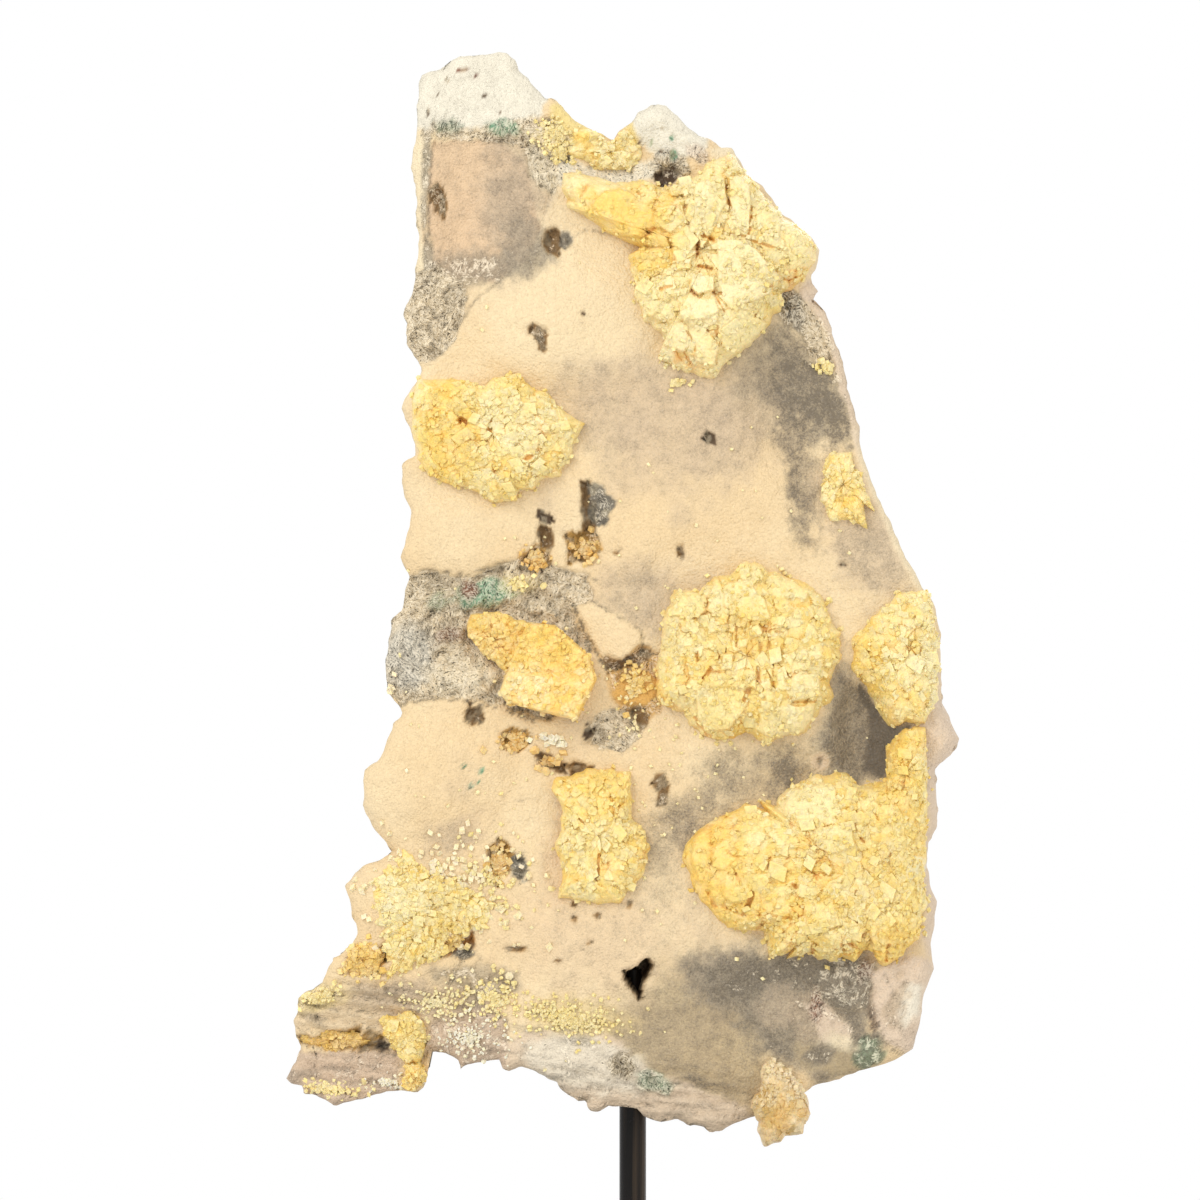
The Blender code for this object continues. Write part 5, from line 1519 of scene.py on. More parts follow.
    def cover_crystals(self) -> Shell:
        """The rhombs sunk in the mound, smaller towards its edge, each with a side facing out."""
        rng = np.random.default_rng(self.seed + Draw.RHOMBS)
        x, z, share = self.scattered()
        count = len(x)
        small, large = self.size
        size = 0.8 * small + (0.9 * large - 0.8 * small) * rng.uniform(0, 1,
            count) ** 2.5 * (1 - 0.6 * share**2)
        outward = self.outward(x, z)
        outward[:, 1] -= RHOMB_FORWARD
        outward = unit(outward)
        spin = 1.6 * lattice_noise(x, z, 34, self.seed + Draw.SPIN) + rng.uniform(-0.25, 0.25, count)
        turns = frames(outward, spin, rng.uniform(-0.24, 0.24, (count, 2)))
        proud = size * rng.uniform(-0.06, 0.1, count)
        centres = self.surface(x, z) - outward * (size * RHOMB_SUNK - proud)[:, None]
        centres[:, 1] -= 0.5 * self.broken(x, z)[0]
        sides = size[:, None] * np.stack(
            [rng.uniform(0.8, 1.1, count), rng.uniform(0.9, 1.5, count), rng.uniform(0.7, 1.15, count)],
            axis=1
        )
        points = rhombs(EASED_BLOCK, centres, turns, sides)
        pale = each_point(EASED_BLOCK, rng.uniform(-0.25, 0.35, count))
        return self.set_in(points, EASED_BLOCK, pale)

    def set_in(self, points: Array, block: Block, pale: Array) -> Shell:
        """One shell of blocks in the mound, painted orange, with shade, where they go down into it."""
        x, z = points[..., 0], points[..., 2]
        top = self.ground(x, z) + self.mound_rise(x, z)
        # Painted shade: the further a block's point lies below the mound's surface, the more orange it is
        # painted
        depth_shade = smoothstep(-0.5, -5.0, -points[..., 1] - top)
        colour = self.tinted(points, pale, 0.5 * depth_shade).reshape(-1, 3)
        return Shell(points.reshape(-1, 3), [many(block, points)], colour, marks_of(depth_shade.size, depth_shade),
            smooth=False)

    def grains(self) -> Shell:
        """Small cubes all over the mound and just past its edge."""
        rng = np.random.default_rng(self.seed + Draw.GRAINS)
        count = int(self.area() / self.grain_space)
        angle = rng.uniform(-np.pi, np.pi, count)
        share = np.sqrt(rng.uniform(0.05, 1.0, count)) * rng.normal(1.0, 0.04, count)
        x, z = self.place(angle, share)
        kept = self.shape.inside(x, z) & (self.shape.rim_distance(x, z) > 1)
        x, z = x[kept], z[kept]
        count = len(x)
        size = rng.uniform(*GRAIN_SIZE, count)
        turns = tumbled(rng, rng.normal(0, 1, (count, 3)) + [0, -GRAIN_FORWARD, 0])
        centres = self.surface(x, z)
        centres[:, 1] -= self.broken(x, z)[0] - 0.2
        points = rhombs(PLAIN_BLOCK, centres, turns, size[:, None] * rng.uniform(0.8, 1.2, (count, 3)))
        pale = each_point(PLAIN_BLOCK, rng.uniform(-0.3, 0.4, count))
        return self.set_in(points, PLAIN_BLOCK, pale)

    def shells(self) -> list[Shell]:
        """The mound, its grains and its crystals, and those of the mounds grown together with it."""
        found = [self.mound(), self.grains()]
        if self.cover:
            found.append(self.cover_crystals())
        for other in self.also:
            found.extend(other.shells())
        return found

    def build(self, finish: bpy.types.Material) -> bpy.types.Object:
        """Makes the cluster, in place of the frame's plain solid."""
        made = joined(self.node + "_crystals", self.shells(), finish)
        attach(made, "root")
        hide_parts(self.node)
        return made


@dataclass(frozen=True)
class GrainField:
    """A scatter of small cubes over an oval of the face."""

    spot: Spot
    count: int
    size: Pair
    tone: Tone = Tone.YELLOW


GRAIN_FIELDS = (
    GrainField(Spot(-88, 226, 38, 30, 12), 420, (1.2, 2.8), Tone.CREAM),
    GrainField(Spot(-62, 232, 30, 26), 120, (1.0, 2.2)),
    GrainField(Spot(-28, 171, 26, 9, 6), 420, (0.8, 1.6)),
    GrainField(Spot(-62, 180, 18, 12), 180, (0.8, 1.8)),
    GrainField(Spot(-140, 180, 12, 5, -14), 150, (1.0, 2.2)),
    GrainField(Spot(-135, 139, 16, 5), 130, (1.0, 2.2)),
    GrainField(Spot(-34, 564, 12, 8, 30), 150, (0.8, 1.8)),
    GrainField(Spot(-32, 555, 8, 6), 60, (1.0, 2.4)),
    GrainField(Spot(-22, 380, 7, 6), 80, (1.0, 2.4), Tone.CAVE_GOLD),
    GrainField(Spot(-44, 375, 7, 5), 60, (1.0, 2.4), Tone.CAVE_GOLD),
    GrainField(Spot(-52, 294, 8, 5, -10), 90, (1.2, 2.8), Tone.CAVE_GOLD),
    GrainField(Spot(-37, 285, 7, 4, -10), 40, (1.2, 2.8), Tone.CAVE_GOLD),
    GrainField(Spot(-60, 240, 5, 9, 8), 80, (1.2, 2.8), Tone.CAVE_GOLD),
    GrainField(Spot(1, 320, 9, 10), 100, (1.0, 2.6), Tone.HONEY),
    GrainField(Spot(-81, 204, 8, 4, -24), 90, (1.2, 2.6), Tone.HONEY),
    GrainField(Spot(-119, 196, 10, 9, 14), 120, (1.2, 3.0), Tone.HONEY),
    GrainField(Spot(86, 460, 5, 5), 30, (1.2, 2.6)),
    GrainField(Spot(20, 453, 5, 3), 16, (1.4, 2.6)),
    GrainField(Spot(-50, 364, 6, 4), 30, (1.0, 2.4)),
    GrainField(Spot(-38, 295, 8, 4), 14, (1.8, 3.4), Tone.WHITE),
    GrainField(Spot(-110, 320, 6, 8), 30, (1.2, 2.8), Tone.CREAM),
    GrainField(Spot(-72, 162, 18, 12), 220, (0.7, 1.5), Tone.WHITE),
    GrainField(Spot(-88, 178, 24, 10), 200, (0.7, 1.5), Tone.PALE_YELLOW),
    GrainField(Spot(-108, 142, 12, 5), 90, (0.7, 1.5), Tone.WHITE),
    GrainField(Spot(0, 300, 130, 170), 240, (0.7, 1.5), Tone.PALE_YELLOW),
)


@dataclass
class GrainScatter:
    """The loose small crystals that are strewn over the slab."""

    shape: SlabShape
    seed: int = Seed.LOOSE_CRYSTALS

    def shell(self, grains: GrainField, seed: int) -> Shell:
        """One field's cubes, denser towards its middle, each resting half sunk on the face."""
        rng = np.random.default_rng(seed)
        count = grains.count
        angle = rng.uniform(0, 2 * np.pi, count)
        share = np.abs(rng.normal(0, 0.55, count))
        turn = math.radians(grains.spot.spin)
        side, rise = share * grains.spot.across * np.cos(angle), share * grains.spot.up * np.sin(angle)
        x = grains.spot.x + side * math.cos(turn) + rise * math.sin(turn)
        z = grains.spot.z - side * math.sin(turn) + rise * math.cos(turn)
        kept = self.shape.inside(x, z) & (self.shape.rim_distance(x, z) > grains.size[1] / 2)
        x, z = x[kept], z[kept]
        count = len(x)
        height = self.shape.face(x, z) + 0.2 - hollowed(x, z, Fray(x, z))[0]
        turns = tumbled(rng, rng.normal(0, 1, (count, 3)))
        sides = rng.uniform(*grains.size, (count, 1)) * rng.uniform(0.8, 1.2, (count, 3))
        points = rhombs(PLAIN_BLOCK, np.stack([x, -height, z], 1), turns, sides)
        lot = each_point(PLAIN_BLOCK, rng.uniform(0, 0.6, count))
        colour = mixed(painted(grains.tone, lot.shape), Tone.PALE_YELLOW, lot)
        quads = [many(PLAIN_BLOCK, points)]
        return Shell(points.reshape(-1, 3), quads, colour.reshape(-1, 3), marks_of(lot.size), smooth=False)

    def build(self, finish: bpy.types.Material) -> bpy.types.Object:
        """Makes all the loose crystals as one piece."""
        shells = [self.shell(grains, self.seed + number) for number, grains in enumerate(GRAIN_FIELDS)]
        made = joined("loose_crystals", shells, finish)
        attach(made, "root")
        return made


class Sheet:
    """A material's nodes in the making."""

    def __init__(self, name: str) -> None:
        """Starts a material with its Principled shader."""
        self.material = bpy.data.materials.new(name)
        self.material.use_nodes = True
        self.tree = self.material.node_tree
        self.shader = self.tree.nodes["Principled BSDF"]

    def add(self, kind: str, **values: object) -> bpy.types.Node:
        """Adds a node and sets its properties and inputs by name.

        Args:
            kind: The node's type.
            values: Properties of the node, or values of its inputs with blanks as underscores.

        Returns:
            The node.
        """
        node = self.tree.nodes.new(kind)
        for name, value in values.items():
            if hasattr(node, name):
                setattr(node, name, value)
            else:
                node.inputs[name.replace("_", " ")].default_value = value
        return node

    def link(self, source: bpy.types.NodeSocket, target: bpy.types.NodeSocket) -> None:
        """Joins an output to an input."""
        self.tree.links.new(source, target)

    def attribute(self, name: str) -> bpy.types.Node:
        """A node that reads one of the mesh's attributes."""
        node = self.tree.nodes.new("ShaderNodeAttribute")
        node.attribute_name = name
        return node

    def noise(self, scale: float, detail: float = 3.0, rough: float = 0.6) -> bpy.types.NodeSocket:
        """Fractal noise on the object's own coordinates, in features per metre."""
        node = self.add("ShaderNodeTexNoise", Scale=scale, Detail=detail, Roughness=rough)
        self.link(self.coordinates(), node.inputs["Vector"])
        return node.outputs["Fac"]

    def fibres(self, across: float, along: float, turn: float) -> bpy.types.NodeSocket:
        """Noise drawn out along a line in the face, turned from upright, in features per metre.

        Args:
            across: How fine it is across the line.
            along: How fine it is along it.
            turn: The line's turn in degrees.

        Returns:
            The noise.
        """
        place = self.tree.nodes.new("ShaderNodeMapping")
        place.vector_type = "TEXTURE"
        place.inputs["Rotation"].default_value = (0, math.radians(turn), 0)
        place.inputs["Scale"].default_value = (1 / across, 1 / across, 1 / along)
        self.link(self.coordinates(), place.inputs["Vector"])
        node = self.add("ShaderNodeTexNoise", Scale=1.0, Detail=3.0, Roughness=0.6)
        self.link(place.outputs["Vector"], node.inputs["Vector"])
        return node.outputs["Fac"]

    def between(self, share: bpy.types.NodeSocket, first: object, second: object) -> bpy.types.NodeSocket:
        """A value that goes from the first to the second by the share."""
        gap = self.math("SUBTRACT", second, first)
        return self.math("ADD", first, self.math("MULTIPLY", gap, share))

    def cells(self, scale: float) -> bpy.types.NodeSocket:
        """Distances to scattered points on the object's own coordinates."""
        node = self.add("ShaderNodeTexVoronoi", Scale=scale)
        self.link(self.coordinates(), node.inputs["Vector"])
        return node.outputs["Distance"]

    def coordinates(self) -> bpy.types.NodeSocket:
        """The object's coordinates."""
        found = self.tree.nodes.get("Texture Coordinate")
        return (found or self.tree.nodes.new("ShaderNodeTexCoord")).outputs["Object"]

    def ramp(self, source: bpy.types.NodeSocket, low: Pair, high: Pair) -> bpy.types.NodeSocket:
        """Maps a value from one range to another, held at the ends."""
        node = self.tree.nodes.new("ShaderNodeMapRange")
        for name, value in zip(("From Min", "To Min", "From Max", "To Max"), (*low, *high)):
            node.inputs[name].default_value = value
        self.link(source, node.inputs["Value"])
        return node.outputs["Result"]

    def math(self, operation: str, first: object, second: object) -> bpy.types.NodeSocket:
        """Joins two values, each a number or an output, by that operation."""
        node = self.tree.nodes.new("ShaderNodeMath")
        node.operation = operation
        for socket, value in zip(node.inputs, (first, second)):
            if isinstance(value, bpy.types.NodeSocket):
                self.link(value, socket)
            else:
                socket.default_value = value
        return node.outputs[0]

    def jittered(self, value: object, noise: bpy.types.NodeSocket, amount: float) -> bpy.types.NodeSocket:
        """A value moved up and down by a noise, by up to the amount."""
        return self.math("ADD", value, self.ramp(noise, (0.3, -amount), (0.7, amount)))

    def shaded(self, colour: object, shade: bpy.types.NodeSocket) -> bpy.types.NodeSocket:
        """A colour multiplied by a shade."""
        return self.blend(1.0, colour, shade, "MULTIPLY")

    def blend(self, factor: object, first: object, second: object, mode: str = "MIX") -> bpy.types.NodeSocket:
        """Blends two colours, each a tuple or an output, by a factor."""
        node = self.tree.nodes.new("ShaderNodeMix")
        node.data_type = "RGBA"
        node.blend_type = mode
        for socket, value in zip((node.inputs[0], node.inputs[6], node.inputs[7]), (factor, first, second)):
            if isinstance(value, bpy.types.NodeSocket):
                self.link(value, socket)
            else:
                socket.default_value = value
        return node.outputs[2]

    def bump(self, height: bpy.types.NodeSocket, depth: float, before: object = None) -> bpy.types.NodeSocket:
        """A bump of that depth in metres, over an earlier bump if there is one."""
        node = self.add("ShaderNodeBump", Strength=1.0, Distance=depth)
        self.link(height, node.inputs["Height"])
        if before is not None:
            self.link(before, node.inputs["Normal"])
        return node.outputs["Normal"]

    def finish(self, colour: object, rough: object, normal: object) -> bpy.types.Material:
        """Joins colour, roughness and bump to the shader."""
        self.link(colour, self.shader.inputs["Base Color"])
        self.link(rough, self.shader.inputs["Roughness"])
        self.link(normal, self.shader.inputs["Normal"])
        return self.material


@dataclass(frozen=True)
class RockFinish:
    """Druzy crust and broken rock: the painted tone, dust, painted shade and chalky needles by the marks, a
    sugary bump.

    The needles' two scales are across and along them. They lie at first_turn, and a fan is a noise from the
    low value to the high one over which they go over to another turn, in degrees.
    """

    grain_scale: float = 950.0
    grain_depth: float = 0.00035
    glitter_scale: float = 700.0
    middle_scale: float = 190.0
    speck_scale: float = 2300.0
    fan_scale: float = 130.0
    needles: Pair = (1250.0, 340.0)
    first_turn: float = 20.0
    fans: tuple[tuple[float, float, float], ...] = ((0.45, 0.48, -50.0), (0.54, 0.57, 80.0))
    # The tone of the painted shade between the needles
    gap_shade: tuple[float, float, float, float] = (0.07, 0.052, 0.034, 1.0)
    # The tone of the dust and of the painted shade along the crust's edges
    dust_and_shade: tuple[float, float, float, float] = (0.11, 0.088, 0.062, 1.0)
    chalk: tuple[float, float, float, float] = (0.95, 0.84, 0.65, 1.0)

    def material(self) -> bpy.types.Material:
        """Builds the material."""
        sheet = Sheet("druzy_rock")
        tint = sheet.attribute("tint").outputs["Color"]
        split = sheet.tree.nodes.new("ShaderNodeSeparateColor")
        sheet.link(sheet.attribute("marks").outputs["Color"], split.inputs["Color"])
        depth_shade, rough, grime = (split.outputs[mark] for mark in (Mark.DEPTH_SHADE, Mark.ROUGH, Mark.GRIME_AND_SHADE))
        fine = sheet.noise(self.grain_scale, 4.0, 0.7)
        middle = sheet.noise(self.middle_scale, 4.0, 0.65)
        fan = sheet.noise(self.fan_scale, 2.0, 0.5)
        thread = sheet.fibres(*self.needles, self.first_turn)
        for low, high, turn in self.fans:
            over = sheet.ramp(fan, (low, 0.0), (high, 1.0))
            thread = sheet.between(over, thread, sheet.fibres(*self.needles, turn))
        rugged = sheet.ramp(sheet.jittered(rough, middle, 0.35), (0.42, 0.0), (0.56, 1.0))
        colour = sheet.shaded(tint, sheet.ramp(fine, (0.34, 0.86), (0.66, 1.07)))
        # Painted shade: places in pits and crevices are darkened by the depth shade, with a ragged band at a
        # pit's edge
        hollow = sheet.jittered(sheet.jittered(depth_shade, fine, 0.14), middle, 0.12)
        colour = sheet.shaded(colour, sheet.ramp(hollow, (0.26, 1.0), (0.4, 0.74)))
        colour = sheet.shaded(colour, sheet.ramp(depth_shade, (0.5, 1.0), (1.0, 0.7)))
        # Dust and grime, and painted shade in the crevices along the crust's edges, by the grime mark
        dirt_and_shade = sheet.jittered(sheet.jittered(grime, fine, 0.3), middle, 0.2)
        dirt_and_shade = sheet.jittered(dirt_and_shade, sheet.noise(self.speck_scale, 2.0, 0.7), 0.16)
        dirt_and_shade = sheet.ramp(dirt_and_shade, (0.13, 0.0), (1.05, 0.9))
        dirt_and_shade = sheet.math("MULTIPLY", dirt_and_shade, sheet.ramp(rugged, (0.0, 1.0), (1.0, 0.5)))
        colour = sheet.blend(dirt_and_shade, colour, self.dust_and_shade)
        chalky = sheet.math("MULTIPLY", rugged, sheet.ramp(thread, (0.46, 0.0), (0.54, 0.95)))
        colour = sheet.blend(chalky, colour, sheet.blend(0.5, tint, self.chalk))
        # Painted shade in the gaps between the needles
        gaps = sheet.math("ADD", sheet.math("MULTIPLY", thread, 0.6), sheet.math("MULTIPLY", fine, 0.4))
        gap_shade_mask = sheet.math("MULTIPLY", rugged, sheet.ramp(gaps, (0.43, 0.0), (0.4, 0.95)))
        colour = sheet.blend(gap_shade_mask, colour, self.gap_shade)
        glitter = sheet.ramp(sheet.cells(self.glitter_scale), (0.0, 0.25), (0.5, 0.8))
        bump = sheet.bump(sheet.cells(self.grain_scale), self.grain_depth)
        bump = sheet.bump(middle, 4 * self.grain_depth, bump)
        bump = sheet.bump(sheet.math("MULTIPLY", thread, rough), 5 * self.grain_depth, bump)
        return sheet.finish(colour, glitter, bump)


@dataclass(frozen=True)
class CalciteFinish:
    """Calcite: the painted tone with milky clouds, a fine granular bump and soft depth."""

    name: str
    milk: tuple[float, float, float] = (0.76, 0.66, 0.42)
    glow: float = 0.2
    glow_reach: tuple[float, float, float] = (1.0, 0.62, 0.25)
    glow_depth: float = 0.004
    grain_scale: float = 800.0

    def material(self) -> bpy.types.Material:
        """Builds the material."""
        sheet = Sheet(self.name)
        tint = sheet.attribute("tint").outputs["Color"]
        cloud = sheet.ramp(sheet.noise(130.0, 4.0, 0.6), (0.45, 0.0), (0.75, 0.4))
        colour = sheet.blend(cloud, tint, (*self.milk, 1.0))
        grain = sheet.noise(self.grain_scale, 4.0, 0.7)
        colour = sheet.shaded(colour, sheet.ramp(grain, (0.34, 0.96), (0.62, 1.18)))
        rough = sheet.ramp(sheet.noise(500.0), (0.3, 0.34), (0.7, 0.62))
        bump = sheet.bump(grain, 0.0004)
        bump = sheet.bump(sheet.noise(330.0, 4.0, 0.6), 0.0007, bump)
        shader = sheet.shader
        shader.inputs["Subsurface Weight"].default_value = self.glow
        shader.inputs["Subsurface Radius"].default_value = self.glow_reach
        shader.inputs["Subsurface Scale"].default_value = self.glow_depth
        return sheet.finish(colour, rough, bump)


@dataclass(frozen=True)
class SteelFinish:
    """Satin black coat on steel with painted highlight streaks along it, and a fine bump."""

    name: str = "black_steel_coat"
    colour: tuple[float, float, float] = (0.006, 0.005, 0.0045)
    # The colour of the painted highlight streaks
    streak_highlight: tuple[float, float, float] = (0.006, 0.005, 0.0045)
    shine: float = 0.14

    def material(self) -> bpy.types.Material:
        """Builds the material."""
        sheet = Sheet(self.name)
        patchy = sheet.ramp(sheet.noise(40.0, 3.0, 0.5), (0.3, 0.8), (0.7, 1.25))
        colour = sheet.shaded((*self.colour, 1.0), patchy)
        # Painted highlight: lighter streaks along the rod; on the plate they take its own colour
        highlight_streaks = sheet.ramp(sheet.fibres(260.0, 4.0, 0.0), (0.48, 0.0), (0.66, 1.0))
        colour = sheet.blend(highlight_streaks, colour, (*self.streak_highlight, 1.0))
        rough = sheet.ramp(sheet.noise(220.0, 4.0, 0.6), (0.3, 0.17), (0.7, 0.28))
        bump = sheet.bump(sheet.noise(900.0, 2.0, 0.5), 0.00004)
        sheet.shader.inputs["Specular IOR Level"].default_value = self.shine
        return sheet.finish(colour, rough, bump)


@dataclass(frozen=True)
class Stand:
    """The steel rod and base plate, which keep the frame's shapes."""

    plate: SteelFinish = SteelFinish()
    # The rod's lighter streaks are a painted highlight
    rod: SteelFinish = SteelFinish("rod_steel_coat", streak_highlight=(0.045, 0.031, 0.02))

    def dress(self) -> None:
        """Gives the rod a coat with painted highlight streaks and the plate an even one."""
        for node, finish in (("steel_rod", self.rod.material()), ("base_plate", self.plate.material())):
            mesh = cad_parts[node].data
            mesh.materials.clear()
            mesh.materials.append(finish)


@dataclass(frozen=True)
class Lamp:
    """A square soft light: its place and its width in metres, and its power in watts."""

    name: str
    place: tuple[float, float, float]
    size: float
    power: float


@dataclass(frozen=True)
class Studio:
    """A pale floor, soft light and a camera square to the slab's face.

    The photo shows 533 mm across its width at the face, so the lens is the sensor's width over that, times
    the distance. Its middle is 14.7 mm left of the rod and 356.7 mm above the floor.
    """

    middle: Pair = (-14.7, 356.7)
    width: float = 533.3
    face_depth: float = 25.0
    distance: float = 2500.0
    sensor: float = 36.0
    floor_radius: float = 620.0
    floor_sides: int = 96
    floor_drop: float = 0.0005
    lit_point: tuple[float, float, float] = (0.0, 0.0, 0.36)
    lamps: tuple[Lamp, ...] = (
        Lamp("key", (-1.1, -1.7, 1.5), 1.1, 26.0),
        Lamp("fill", (1.5, -1.5, 0.8), 1.4, 8.0),
        Lamp("rear", (0.4, 1.8, 1.4), 1.4, 14.0),
    )

    def camera(self) -> None:
        """Sets up the camera."""
        data = bpy.data.cameras.new("camera")
        data.sensor_width = self.sensor
        data.lens = self.sensor * self.distance / self.width
        data.clip_end = 20.0
        camera = bpy.data.objects.new("camera", data)
        camera.location = Vector((self.middle[0], -self.face_depth - self.distance, self.middle[1])) * MM
        camera.rotation_euler = (math.radians(90), 0, 0)
        bpy.context.scene.collection.objects.link(camera)
        bpy.context.scene.camera = camera

    def light(self, lamp: Lamp) -> None:
        """Sets up a lamp that looks at the lit point."""
        data = bpy.data.lights.new(lamp.name, "AREA")
        data.size = lamp.size
        data.energy = lamp.power
        made = bpy.data.objects.new(lamp.name, data)
        made.location = lamp.place
        aim = Vector(self.lit_point) - Vector(lamp.place)
        made.rotation_euler = aim.to_track_quat("-Z", "Y").to_euler()
        bpy.context.scene.collection.objects.link(made)

    def world(self) -> None:
        """A white surround."""
        world = bpy.data.worlds.new("studio")
        world.use_nodes = True
        shade = world.node_tree.nodes["Background"]
        shade.inputs["Color"].default_value = (1.0, 1.0, 1.0, 1.0)
        shade.inputs["Strength"].default_value = 1.0
        bpy.context.scene.world = world

    def floor(self) -> None:
        """A round pale floor, one flat polygon."""
        angle = np.linspace(0, 2 * np.pi, self.floor_sides, endpoint=False)
        rim = np.stack([np.cos(angle), np.sin(angle), 0 * angle], axis=1) * self.floor_radius * MM
        mesh = bpy.data.meshes.new("floor")
        mesh.from_pydata(rim.tolist(), [], [list(range(self.floor_sides))])
        sheet = Sheet("pale_floor")
        tone = sheet.ramp(sheet.noise(8.0), (0.3, 0.86), (0.7, 0.9))
        rough = sheet.ramp(sheet.noise(30.0), (0.3, 0.6), (0.7, 0.7))
        mesh.materials.append(sheet.finish(tone, rough, sheet.bump(sheet.noise(60.0), 0.0001)))
        floor = bpy.data.objects.new("floor", mesh)
        floor.location.z = -self.floor_drop
        bpy.context.scene.collection.objects.link(floor)

    def build(self) -> None:
        """Sets the whole studio up."""
        self.camera()
        self.world()
        self.floor()
        for lamp in self.lamps:
            self.light(lamp)
        bpy.context.scene.view_settings.view_transform = "Standard"


